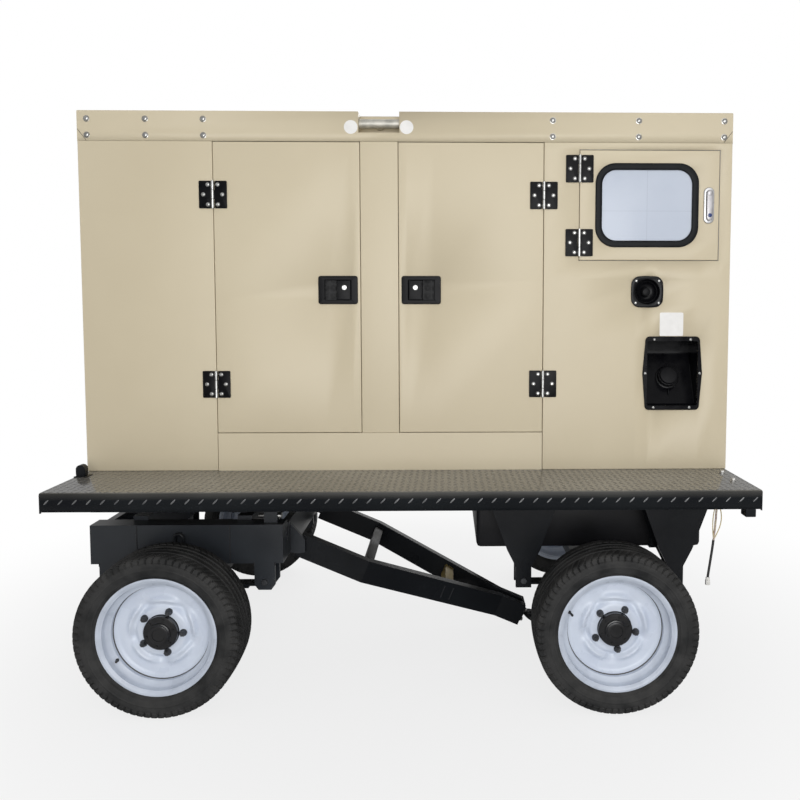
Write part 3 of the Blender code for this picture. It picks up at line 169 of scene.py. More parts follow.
def piece(name, parts, material, body, stands_for=(), outward=None, crease=35.0):
    """One object from (points, faces) parts, welded, turned outwards, given its finish and put on its body.

    outward is a direction for an open sheet: its faces are flipped if they point mostly the other way.
    """
    points, faces, start = [], [], 0
    for part_points, part_faces in parts:
        points.append(part_points)
        faces += [[index + start for index in face] for face in part_faces]
        start += len(part_points)
    mesh = bpy.data.meshes.new(name)
    mesh.from_pydata(np.concatenate(points).tolist(), [], faces)
    shape = bmesh.new()
    shape.from_mesh(mesh)
    bmesh.ops.remove_doubles(shape, verts=shape.verts, dist=2e-6)
    bmesh.ops.dissolve_degenerate(shape, edges=shape.edges, dist=1e-6)
    bmesh.ops.recalc_face_normals(shape, faces=shape.faces)
    if outward is not None:
        shape.normal_update()
        way = sum(face.calc_area() * face.normal.dot(outward) for face in shape.faces)
        if way < 0:
            bmesh.ops.reverse_faces(shape, faces=shape.faces)
    shape.to_mesh(mesh)
    shape.free()
    item = place_in_scene(name, mesh)
    mesh.materials.append(material)
    mesh.shade_smooth()
    mesh.set_sharp_from_angle(angle=math.radians(crease))
    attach(item, body)
    if stands_for:
        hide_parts(*stands_for)
    return item


def track(x, y, z):
    """A path whose X, Y and Z are each a number or an array."""
    return np.stack(np.broadcast_arrays(x, y, z), -1).astype(float)


def tube(path, radius, sides=16, lobes=0, lay=0.0):
    """A round tube along a path: each point carries a circle square to the path.

    With lobes, the radius is r (0.82 + 0.18 |cos(lobes a / 2 + turn)|), and the turn grows with the distance
    over the lay length, as wires twisted together do. radius is one number or one for each point.
    """
    path = np.asarray(path, float)
    ahead = np.gradient(path, axis=0)
    ahead /= np.linalg.norm(ahead, axis=1, keepdims=True)
    guide = np.eye(3)[np.argmin(np.abs(ahead).max(axis=0))]
    first = np.cross(ahead, guide)
    first /= np.linalg.norm(first, axis=1, keepdims=True)
    second = np.cross(ahead, first)
    angle = np.linspace(0, 2 * np.pi, sides, endpoint=False)
    reach = np.broadcast_to(np.asarray(radius, float), (len(path),))[:, None] * np.ones(sides)
    if lobes:
        gone = np.concatenate([[0], np.cumsum(np.linalg.norm(np.diff(path, axis=0), axis=1))])
        turn = (2 * np.pi * gone / lay)[:, None]
        reach = reach * (0.82 + 0.18 * np.abs(np.cos(lobes * (angle + turn) / 2)))
    ring = first[:, None] * (np.cos(angle) * reach)[..., None] + second[:, None] * (np.sin(angle) * reach)[..., None]
    return skin(path[:, None] + ring)


def node_group(name, numbers, results):
    """A new group with number inputs and outputs, and its two end nodes."""
    group = bpy.data.node_groups.new(name, "ShaderNodeTree")
    for direction, sockets in (("INPUT", numbers), ("OUTPUT", results)):
        for socket in sockets:
            kind = "NodeSocketVector" if socket == "Position" else "NodeSocketFloat"
            group.interface.new_socket(socket, in_out=direction, socket_type=kind)
    return group, group.nodes.new("NodeGroupInput").outputs, group.nodes.new("NodeGroupOutput").inputs


# Two noises of a position: Broad is soft patches about half a metre across, Fine is the surface's own grain.
finish_grain, entry, leave = node_group("finish_grain", ("Position", "Fine Scale", "Broad Scale"), ("Broad", "Fine"))
for word, detail in (("Broad", 4.0), ("Fine", 3.0)):
    noise = node(finish_grain, "TexNoise", ("Detail", detail), ("Vector", entry["Position"]),
                 ("Scale", entry[word + " Scale"]))
    finish_grain.links.new(noise.outputs["Fac"], leave[word])

# A mask of settled dust, which on the deck's top paints the canopy's reflection: high where the surface faces up and a
# noise is high.
upward_dust_and_reflection, entry, leave = node_group("upward_dust_and_reflection", ("Patches", "Reach"), ("Mask",))
facing_up = node(upward_dust_and_reflection, "SeparateXYZ", (0, node(upward_dust_and_reflection, "NewGeometry").outputs["Normal"]))
upness = node(upward_dust_and_reflection, "MapRange", ("From Min", -0.2), ("Value", facing_up.outputs["Z"]))
product = node(upward_dust_and_reflection, "Math", (0, upness.outputs["Result"]), (1, entry["Patches"]), operation="MULTIPLY")
scaled = node(upward_dust_and_reflection, "Math", (0, product.outputs[0]), (1, entry["Reach"]), operation="MULTIPLY")
upward_dust_and_reflection.links.new(scaled.outputs[0], leave["Mask"])


def finish(name, dark, light, rough, metallic=0.0, coat=0.0, fine=450.0, broad=2.2, relief=0.00006, specular=0.5,
           dust_and_reflection=0.0, dust_and_reflection_colour=(0.42, 0.37, 0.3)):
    """A finish: patches between two near colours, roughness between two values, and a raised grain of some relief."""
    material = bpy.data.materials.new(name)
    material.use_nodes = True
    tree = material.node_tree
    grain = node(tree, "Group", node_tree=finish_grain)
    tree.links.new(node(tree, "TexCoord").outputs["Object"], grain.inputs["Position"])
    grain.inputs["Fine Scale"].default_value = fine
    grain.inputs["Broad Scale"].default_value = broad
    blend = node(tree, "MapRange", ("From Min", 0.35), ("From Max", 0.65), ("Value", grain.outputs["Broad"]))
    top = node(tree, "Mix", ("A", (*dark, 1.0)), ("B", (*light, 1.0)), ("Factor", blend.outputs["Result"]),
               data_type="RGBA").outputs["Result"]
    rough_out = node(tree, "MapRange", ("From Min", 0.3), ("From Max", 0.7), ("To Min", rough[0]),
                     ("To Max", rough[1]), ("Value", grain.outputs["Broad"])).outputs["Result"]
    if dust_and_reflection:
        settled = node(tree, "Group", node_tree=upward_dust_and_reflection)
        settled.inputs["Reach"].default_value = dust_and_reflection
        tree.links.new(grain.outputs["Broad"], settled.inputs["Patches"])
        top = node(tree, "Mix", ("B", (*dust_and_reflection_colour, 1.0)), ("Factor", settled.outputs["Mask"]), ("A", top),
                   data_type="RGBA").outputs["Result"]
        rough_out = node(tree, "Math", (0, rough_out), (1, settled.outputs["Mask"]), operation="ADD",
                         use_clamp=True).outputs[0]
    bump = node(tree, "Bump", ("Strength", 0.6), ("Distance", relief), ("Height", grain.outputs["Fine"]))
    for slot, value in (("Metallic", metallic), ("Coat Weight", coat), ("Coat Roughness", 0.12),
                        ("Specular IOR Level", specular)):
        tree.nodes["Principled BSDF"].inputs[slot].default_value = value
    for slot, value in (("Base Color", top), ("Roughness", rough_out), ("Normal", bump.outputs["Normal"])):
        tree.links.new(value, tree.nodes["Principled BSDF"].inputs[slot])
    return material


def emboss(material, height, distance):
    """Adds a coarse bump under a finish's own grain."""
    tree = material.node_tree
    grain = tree.nodes["Principled BSDF"].inputs["Normal"].links[0].from_node
    raised = node(tree, "Bump", ("Strength", 1.0), ("Distance", distance), ("Height", height))
    tree.links.new(raised.outputs["Normal"], grain.inputs["Normal"])
    return material



# ---- Lamp lead
# Three thin insulated wires laid together, which leave a gland under the deck for the trailer's
# lamps. Their lower half runs in a black sleeve, and a small white plug housing closes the end.
LEAD_EXIT = np.array([1.175, -0.75, 0.7762])
LEAD_ROUTE = np.array([(0.0, 0.0), (-0.001, -0.04), (-0.004, -0.09), (-0.009, -0.14), (-0.015, -0.19),
                       (-0.022, -0.24), (-0.029, -0.29)])
lead_at = np.linspace(0, len(LEAD_ROUTE) - 1, 37)
lead_path = np.stack([LEAD_EXIT[0] + np.interp(lead_at, np.arange(7), LEAD_ROUTE[:, 0]), np.full(37, LEAD_EXIT[1]),
                      LEAD_EXIT[2] + np.interp(lead_at, np.arange(7), LEAD_ROUTE[:, 1])], -1)
lead_path[1:-1, 0] = (lead_path[:-2, 0] + 2 * lead_path[1:-1, 0] + lead_path[2:, 0]) / 4
wire_insulation = finish("wire_insulation", (0.36, 0.27, 0.25), (0.55, 0.48, 0.34), (0.4, 0.55), fine=300.0,
                         broad=60.0)
lamp_wires = piece("lamp_wires", [tube(lead_path, 0.004, 18, lobes=3, lay=0.11)], wire_insulation, "trailer",
                   ("lamp_lead",))
black_sleeve = finish("black_sleeve", (0.014, 0.014, 0.014), (0.022, 0.022, 0.022), (0.5, 0.7), fine=800.0)
loose = np.sin(np.linspace(0, np.pi, 20))[:, None] * np.array([[0.021, 0.0, 0.0]])
loose_wires = piece("loose_wires", [tube(lead_path[:20] + loose, 0.002, 8),
                                    tube(lead_path[:20] - 0.5 * loose, 0.002, 8)],
                    finish("yellow_insulation", (0.55, 0.44, 0.2), (0.62, 0.52, 0.28), (0.4, 0.55), fine=300.0,
                           broad=60.0), "trailer")
lamp_sleeve = piece("lamp_sleeve", [tube(lead_path[19:], 0.0046, 16)], black_sleeve, "trailer")


def facing(x, y, z, side=-1):
    """Places (across, up, out) on a face that looks along Y, towards side, at a distance y from the middle."""
    return lambda u, v, w: np.column_stack([x + u, side * (y + w), z + v])


def upward(x, y, z=0.0):
    """Places (u, v, height) on a face that looks up."""
    return lambda u, v, w: np.column_stack([x + u, y + v, z + w])


def on_axis(y, z, x=0.0):
    """Places (u, v, distance) along an axis that runs along X."""
    return lambda u, v, w: np.column_stack([x + w, y + u, z + v])


def outline(width, height, radius, steps=6, between=0):
    """A rectangle with round corners as an (n, 2) array: each corner's centre plus r (cos a, sin a) over a quarter.

    between adds that many points, evenly spaced, on each straight side.
    """
    corner = np.array([(1, 1), (-1, 1), (-1, -1), (1, -1)], float)
    angle = np.pi / 2 * (np.arange(4)[:, None] + np.linspace(0, 1, steps + 1)[None, :])
    centre = corner * (np.array([width, height]) / 2 - radius)
    arcs = centre[:, None] + radius * np.stack([np.cos(angle), np.sin(angle)], -1)
    share = (np.arange(between) + 1)[None, :, None] / (between + 1)
    sides = arcs[:, -1:] * (1 - share) + np.roll(arcs, -1, axis=0)[:, :1] * share
    return np.concatenate([arcs, sides], axis=1).reshape(-1, 2)


def rolled(width, height, radius, low, high, edge, turns=4):
    """The steps of a plate from low to high, its top edge drawing in by e (1 - cos a) as it rises by e sin a."""
    angle = np.linspace(0, np.pi / 2, turns)
    inset = edge * (1 - np.cos(angle))
    rise = high - edge + edge * np.sin(angle)
    steps = [(width, height, radius, low)]
    steps += [(width - 2 * d, height - 2 * d, max(radius - d, 0.0004), h) for d, h in zip(inset, rise)]
    return steps


def placed(rings, place, ends="capped"):
    """A skin whose points a place has turned from (u, v, distance) into the world."""
    points, faces = skin(rings, ends)
    return place(*points.T), faces


def stack(steps, place, corner=6, ends="capped"):
    """A closed solid from (width, height, corner radius, distance) steps, or with joined ends a closed frame."""
    return placed([np.column_stack([outline(w, h, r, corner), np.full(4 * (corner + 1), d)]) for w, h, r, d in steps],
                  place, ends)


def box_block(low, high, edge=0.002, corner=3):
    """A box between two corners with its upright edges and its top and bottom edges rounded."""
    low, high = np.minimum(low, high).astype(float), np.maximum(low, high).astype(float)
    middle, size = (low + high) / 2, high - low
    edge = min(edge, size.min() / 2.2)
    angle = np.linspace(0, np.pi / 2, 3)
    inset = edge * (1 - np.sin(angle))
    rise = edge * (1 - np.cos(angle))
    steps = [(size[0] - 2 * d, size[1] - 2 * d, max(edge - d, 0.0003), low[2] + h) for d, h in zip(inset, rise)]
    steps += [(size[0] - 2 * d, size[1] - 2 * d, max(edge - d, 0.0003), high[2] - h) for d,
              h in zip(inset[::-1], rise[::-1])]
    return stack(steps, upward(middle[0], middle[1]), corner)


def corners(name):
    """The low and high corners of a CAD node."""
    return (np.array(corner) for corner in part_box(name))


white_moulding = finish("white_moulding", (0.66, 0.65, 0.62), (0.74, 0.73, 0.7), (0.35, 0.5), fine=700.0)
plug_low, plug_high = corners("lamp_connector")
lamp_plug = piece("lamp_plug", [
    box_block(plug_low, plug_high - (0, 0, 0.01), 0.0015),
    box_block(plug_low + (0.0015, 0.0015, 0.018), plug_high - (0.0015, 0.0015, 0.0), 0.001),
    box_block(plug_low + (0.004, -0.0015, 0.006), plug_low + (0.012, 0.001, 0.02), 0.0006),
], white_moulding, "trailer", ("lamp_connector",))


# ---- Trailer frame, axles and springs
# Welded box and channel sections, cut from hot-rolled steel and sprayed black after welding.
# The leaf packs are clamped under them with U-bolts over a pad, and road dust lies on what faces up.
black_enamel = finish("black_enamel", (0.005, 0.006, 0.008), (0.011, 0.013, 0.016), (0.2, 0.34), fine=260.0,
                      relief=0.00008, specular=0.2, dust_and_reflection=0.06)
bogie_enamel = finish("bogie_enamel", (0.013, 0.016, 0.021), (0.024, 0.029, 0.036), (0.24, 0.38), fine=260.0,
                      relief=0.00008, specular=0.45, dust_and_reflection=0.1)
def coat_nodes(material, *names):
    """Gives CAD nodes that keep their own shape a finish."""
    for name in names:
        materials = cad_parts[name].data.materials
        materials.clear()
        materials.append(material)


coat_nodes(black_enamel, "chassis_frame", "rear_axle", "rear_spring_near", "rear_spring_far", "front_axle",
           "front_spring_near", "front_spring_far", "drawbar_frame")
coat_nodes(bogie_enamel, "bogie_frame")


def hexagon(place, across_flats, low, high):
    """A hexagon nut or bolt head standing on a surface, its top edge chamfered."""
    angle = np.pi / 3 * np.arange(6)
    reach = across_flats / 2 / math.cos(math.pi / 6)
    rings = [(reach, low), (reach, high - 0.15 * (high - low)), (reach * 0.9, high)]
    return placed([np.column_stack([r * np.cos(angle), r * np.sin(angle), np.full(6, h)]) for r, h in rings], place)


def lathe(profile, place, around=24):
    """A (radius, distance) profile turned about its axis: (r cos a, r sin a, distance), capped at both ends."""
    profile = np.asarray(profile, float)
    angle = np.linspace(0, 2 * np.pi, around, endpoint=False)
    rings = np.stack([profile[:, :1] * np.cos(angle), profile[:, :1] * np.sin(angle),
                      np.repeat(profile[:, 1:], around, axis=1)], -1)
    return placed(rings, place)


zinc = finish("zinc", (0.42, 0.42, 0.41), (0.58, 0.57, 0.55), (0.28, 0.42), metallic=1.0, fine=700.0, broad=25.0)
dark_steel = finish("dark_steel", (0.045, 0.047, 0.052), (0.085, 0.088, 0.095), (0.32, 0.5), metallic=0.6, fine=600.0,
                    broad=20.0)
for axle_x, body, word in ((FRONT_AXLE_X, "bogie", "front"), (REAR_AXLE_X, "trailer", "rear")):
    clamps, nuts = [], []
    for side in (-1, 1):
        pack_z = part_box(f"{word}_spring_{'near' if side < 0 else 'far'}")[0][2]
        top = pack_z + 0.036
        for x in (axle_x - 0.041, axle_x + 0.041):
            bend = np.linspace(0, np.pi, 13)
            y_mid, reach = side * 0.45, 0.0375
            arch = track(x, y_mid - reach * np.cos(bend), top + 0.004 + 0.01 * np.sin(bend))
            legs = [np.array([[x, y_mid - reach, 0.258]]), arch, np.array([[x, y_mid + reach, 0.258]])]
            clamps.append(tube(np.concatenate(legs), 0.0055, 10))
            for y in (y_mid - reach, y_mid + reach):
                nuts.append(hexagon(upward(x, y), 0.018, 0.2545, 0.2655))
        clamps.append(box_block((axle_x - 0.055, side * 0.412, 0.2645), (axle_x + 0.055, side * 0.488, 0.2755),
                                0.003))
        clamps.append(box_block((axle_x - 0.05, side * 0.4195, top - 0.001),
                                (axle_x + 0.05, side * 0.4805, top + 0.008), 0.003))
        for x in (axle_x - 0.175, axle_x + 0.175):
            clamps.append(box_block((x - 0.011, side * 0.4165, pack_z + 0.014),
                                    (x + 0.011, side * 0.4835, top + 0.0035), 0.0015))
        for x in (axle_x - 0.314, axle_x + 0.314):
            for y, away in ((0.5, 1), (0.4, -1)):
                nuts.append(hexagon(facing(x, away * y, 0.3863, side * away), 0.024, -0.001, 0.009))
    piece(f"{word}_spring_clamps", clamps, black_enamel, body)
    piece(f"{word}_spring_nuts", nuts, dark_steel, body)


# ---- Bogie
# Two side beams of folded plate with the weld beads left as they were laid, carried on a ball ring.
# The stay pin is zinc plated, and a thick lashing loop stands on each beam.
def bead(start, end, width):
    """A weld bead: a half-round ridge along a line whose height ripples as w (0.75 + 0.25 |sin|) every 6 mm."""
    start, end = np.asarray(start, float), np.asarray(end, float)
    count = max(8, int(np.linalg.norm(end - start) / 0.0025))
    along = np.linspace(0, 1, count)[:, None]
    ripple = width * (0.75 + 0.25 * np.abs(np.sin(np.linspace(0, np.pi * count * 0.0025 / 0.006, count))))
    return tube(start + (end - start) * along, ripple, 8)


weld = finish("weld", (0.009, 0.01, 0.012), (0.016, 0.017, 0.02), (0.3, 0.45), fine=500.0, relief=0.0002)
seams = []
for side in (-1, 1):
    outer = side * FRAME_Y
    for x in (-1.107, -0.73):
        seams.append(bead((x, outer, 0.468), (x, outer, 0.622), 0.003))
    for x in (-1.219, -0.591):
        for edge in (-0.042, 0.042):
            seams.append(bead((x + edge, outer - side * 0.001, 0.455), (x + edge, outer - side * 0.001, 0.47), 0.003))
piece("bogie_welds", seams, weld, "bogie")
loops = []
for side in (-1, 1):
    turn = np.linspace(0, np.pi, 15)
    loop = track(-0.934 + 0.0165 * np.cos(turn), side * 0.509, 0.573 + 0.0165 * np.sin(turn))
    feet = [loop[:1] - (0, 0, 0.036), loop, loop[-1:] - (0, 0, 0.036)]
    loops.append(tube(np.concatenate(feet), 0.0085, 12))
piece("bogie_loops", loops, black_enamel, "bogie")

ring_steel = finish("ring_steel", (0.03, 0.031, 0.034), (0.06, 0.058, 0.055), (0.35, 0.5), metallic=0.7, fine=400.0,
                    broad=12.0, dust_and_reflection=0.15)
coat_nodes(ring_steel, "turntable_ring")
pin_low, pin_high = corners("drawbar_stay_pin")
pin_y, pin_z = (pin_low[1] + pin_high[1]) / 2, (pin_low[2] + pin_high[2]) / 2
turn = np.linspace(0.3, 2 * np.pi - 0.3, 24)
piece("stay_pin", [
    lathe([(0.0, pin_low[0]), (0.007, pin_low[0]), (0.01, pin_low[0] + 0.006), (0.01, pin_high[0] - 0.014),
           (0.0139, pin_high[0] - 0.0137), (0.0139, pin_high[0] - 0.003), (0.0115, pin_high[0]), (0.0, pin_high[0])],
          on_axis(pin_y, pin_z), 28),
    tube(track(pin_high[0] - 0.007, pin_y + 0.018 * np.sin(turn), pin_z - 0.008 - 0.006 * np.cos(turn)), 0.0016, 8),
], zinc, "stay_pin", ("drawbar_stay_pin",))


# ---- Drawbar
# An A-frame of square tube with two cross bars, pinned to the bogie, and a forged eye on its nose.
# The beads show at every joint, and the forged eye is patchy, darker and lighter.
HINGE = np.array([-0.485, 0.0, 0.485])
PITCH = math.radians(23.15)


def in_drawbar(points):
    """Points of the drawbar's own plane, (along, across, up), turned down about its hinge into the row frame."""
    points = np.atleast_2d(np.asarray(points, float))
    return np.column_stack([HINGE[0] + points[:, 0] * math.cos(PITCH) + points[:, 2] * math.sin(PITCH), points[:, 1],
                            HINGE[2] - points[:, 0] * math.sin(PITCH) + points[:, 2] * math.cos(PITCH)])


beads = []
for across_y in (-1, 1):
    for along, reach in ((0.309, 0.279), (0.695, 0.1645)):
        for edge in (-0.021, 0.021):
            slope = 0.4 * edge
            ends = in_drawbar([(along + edge, across_y * (reach - slope), -0.03),
                               (along + edge, across_y * (reach - slope), 0.03)])
            beads.append(bead(ends[0], ends[1], 0.0032))
        ends = in_drawbar([(along - 0.02, across_y * reach, 0.031), (along + 0.02, across_y * (reach - 0.01), 0.031)])
        beads.append(bead(ends[0], ends[1], 0.0032))
    for up in (-0.048, 0.048):
        ends = in_drawbar([(1.066, across_y * 0.06, up), (1.066, across_y * 0.022, up)])
        beads.append(bead(ends[0], ends[1], 0.003))
piece("drawbar_welds", beads, weld, "drawbar")
grey_primer = finish("grey_primer", (0.07, 0.074, 0.08), (0.11, 0.112, 0.112), (0.35, 0.5), fine=500.0, broad=8.0,
                     dust_and_reflection=0.2)
ochre_primer = finish("ochre_primer", (0.38, 0.275, 0.075), (0.47, 0.35, 0.11), (0.45, 0.6), fine=400.0, broad=12.0,
                      dust_and_reflection=0.1)
for word, along, reach, primer in (("first", 0.309, 0.262, grey_primer), ("second", 0.695, 0.148, ochre_primer)):
    bar_points, bar_faces = box_block((along - 0.0207, -reach, -0.0307), (along + 0.0207, reach, 0.0307), 0.003)
    piece(word + "_cross_bar", [(in_drawbar(bar_points), bar_faces)], primer, "drawbar")
tube_angle, ring_angle = np.meshgrid(np.linspace(0, 2 * np.pi, 20, endpoint=False),
                                     np.linspace(0, 2 * np.pi, 48, endpoint=False))
eye_x = 1.0776 + 0.0003 + 0.03 + 0.045
eye = np.stack([eye_x + (0.045 + 0.0126 * np.cos(tube_angle)) * np.cos(ring_angle),
                (0.045 + 0.0126 * np.cos(tube_angle)) * np.sin(ring_angle), 0.0126 * np.sin(tube_angle)], -1)
eye_points, eye_faces = skin(eye, "joined")
neck_points, neck_faces = lathe([(0.0, 1.082), (0.02, 1.082), (0.0175, 1.089), (0.0125, 1.096), (0.012, 1.112),
                                 (0.0, 1.112)], on_axis(0.0, 0.0), 28)
flange_points, flange_faces = stack(rolled(0.09, 0.07, 0.01, 1.078, 1.0876, 0.002), on_axis(0.0, 0.0))
eye_parts = [(in_drawbar(p), f) for p, f in ((eye_points, eye_faces), (neck_points, neck_faces),
                                             (flange_points, flange_faces))]
forged = finish("forged", (0.02, 0.02, 0.022), (0.1, 0.1, 0.1), (0.3, 0.5), metallic=0.7, fine=350.0, broad=30.0,
                relief=0.0002)
piece("towing_ring", eye_parts, forged, "drawbar", ("towing_eye",))
eye_bolts = []
for y, up in ((-0.034, -0.024), (-0.034, 0.024), (0.034, -0.024), (0.034, 0.024)):
    head_points, head_faces = hexagon(on_axis(y, up), 0.014, 1.087, 1.0945)
    eye_bolts.append((in_drawbar(head_points), head_faces))
piece("towing_eye_bolts", eye_bolts, zinc, "drawbar")


# ---- Wheels
# Low road tyres on white one-piece rims. The tread has three ribs between grooves and slanted
# shoulder blocks, the dish is pressed with five lobes, and five nuts hold it to a black hub.
def wheel_surface(profile, around, centre, side, shape=None):
    """A closed (radius, distance) profile carried round the axle: x = r sin a, z = r cos a, y = side times distance.

    shape may move the points: it takes the arrays of radius, distance and angle and returns new radius and distance.
    """
    profile = np.asarray(profile, float)
    angle = np.linspace(0, 2 * np.pi, around, endpoint=False)
    radius = np.repeat(profile[:, :1], around, axis=1)
    out = np.repeat(profile[:, 1:], around, axis=1)
    turn = np.broadcast_to(angle, radius.shape)
    if shape:
        radius, out = shape(radius, out, turn)
    rings = np.stack([centre[0] + radius * np.sin(turn), centre[1] + side * out, centre[2] + radius * np.cos(turn)],
                     -1)
    return skin(rings, "joined")


def tyre_profile():
    """The tyre's section: crown, shoulder, a sidewall that bulges as a sine and the bead, then back inside."""
    crown = [(TYRE_RADIUS - 0.0028 * (t / 0.082) ** 2, t) for t in np.linspace(-0.082, 0.082, 67)]
    t = np.linspace(0, 1, 9)
    shoulder = np.column_stack([0.3028 - 0.013 * t ** 2.0, 0.082 + 0.0155 * np.sin(t * np.pi / 2)])
    s = np.linspace(0.0, 1.0, 26)[1:]
    wall = np.column_stack([0.2898 - 0.0648 * s, 0.0975 + 0.0045 * np.sin(np.pi * s) - 0.011 * s ** 3])
    bead_end = np.array([(0.2215, 0.085), (0.206, 0.081), (0.2045, 0.065)])
    outer = np.concatenate([shoulder, wall, bead_end])
    inner = np.array([(0.23, 0.07), (0.26, 0.086), (0.285, 0.08)])
    back = outer[::-1] * (1, -1)
    return np.concatenate([back, crown, outer, inner, inner[::-1] * (1, -1)])


def tread(radius, out, turn):
    """Cuts the tread: three grooves round the tyre, slanted slots across the shoulders, thin sipes on the ribs, and
    raised rings and ribs on the outer walls. Each cut is a smooth step of the distance to its line."""
    def notch(distance, half):
        return np.clip((half - np.abs(distance)) / 0.0012 + 0.5, 0, 1)
    crown = (radius > 0.2995)
    cut = sum(notch(out - place, 0.0042) for place in (-0.047, -0.016, 0.016, 0.047)) * 0.007
    step = 2 * np.pi / 72
    slant = (turn + np.sign(out) * out * 1.9) / step
    slot_mm = (slant - np.round(slant)) * step * TYRE_RADIUS
    cut += np.where(np.abs(out) > 0.0515, notch(slot_mm, 0.0019) * 0.0062, 0)
    sipe = (turn * 2 - out * 3.0) / step
    sipe_mm = (sipe - np.round(sipe)) * step * TYRE_RADIUS / 2
    cut += np.where(np.abs(out) < 0.012, notch(sipe_mm, 0.0009) * 0.003, 0)
    edge = (np.abs(out) > 0.09) & (radius > 0.27)
    block = np.where(edge, notch(slot_mm, 0.0024) * 0.005 * np.clip((radius - 0.274) / 0.006, 0, 1), 0)
    radius = radius - np.where(crown | (np.abs(out) > 0.0515) & (radius > 0.291), np.minimum(cut, 0.007), 0)
    wall = (radius < 0.2895) & (radius > 0.224) & (np.abs(out) > 0.08)
    rings = 0.0014 * (np.exp(-((radius - 0.282) / 0.0012) ** 2) + np.exp(-((radius - 0.256) / 0.001) ** 2)
                      + np.exp(-((radius - 0.233) / 0.0012) ** 2))
    ribs = 0.0005 * np.clip(np.sin(turn * 144) * 2, 0, 1) * np.exp(-((radius - 0.269) / 0.0075) ** 4)
    return radius, out + np.sign(out) * (np.where(wall, rings + ribs, 0) - block)


def rim_profile():
    """The rim's section from the outer flange over the barrel's drop to the inner flange, then back 3 mm under it."""
    top = [(0.2205, 0.087), (0.2202, 0.0888), (0.2185, 0.0892), (0.214, 0.0872), (0.2085, 0.0815), (0.2045, 0.0795),
           (0.204, 0.06), (0.199, 0.052), (0.185, 0.044), (0.1835, 0.01), (0.199, 0.0), (0.204, -0.008),
           (0.204, -0.079), (0.214, -0.087), (0.2185, -0.089), (0.2205, -0.087)]
    under = [(0.218, -0.0862), (0.211, -0.084), (0.201, -0.077), (0.2008, -0.009), (0.1962, 0.002), (0.1803, 0.011),
             (0.18, 0.043), (0.1808, 0.047), (0.196, 0.0545), (0.2006, 0.061), (0.2012, 0.0812), (0.207, 0.0845),
             (0.212, 0.088), (0.217, 0.0892), (0.2195, 0.088)]
    return top + under


def disc_profile():
    """The dish: a bend into the barrel, a deep outer ring, a raised ring round the nuts and a flat seat, 4 mm thick."""
    radius = np.concatenate([np.linspace(0.1802, 0.165, 7), np.linspace(0.162, 0.065, 46)])
    deep = 0.019 + 0.013 * np.clip((radius - 0.16) / 0.02, 0, 1) ** 2
    ring = 0.015 * np.exp(-((radius - 0.118) / 0.0125) ** 2)
    seat = 0.011 * (1 / (1 + np.exp((radius - 0.096) / 0.003)))
    front = np.column_stack([radius, deep + ring + seat])
    return np.concatenate([front, (front - (0, 0.004))[::-1]])


def lobes(radius, out, turn):
    """Presses the five lobes: the ring's height falls between the nuts by a cosine of five times the angle."""
    between = 0.5 - 0.5 * np.cos(5 * (turn - math.radians(3)))
    fade = np.exp(-((radius - 0.115) / 0.0165) ** 2)
    return radius, out - 0.0225 * between ** 2.2 * fade


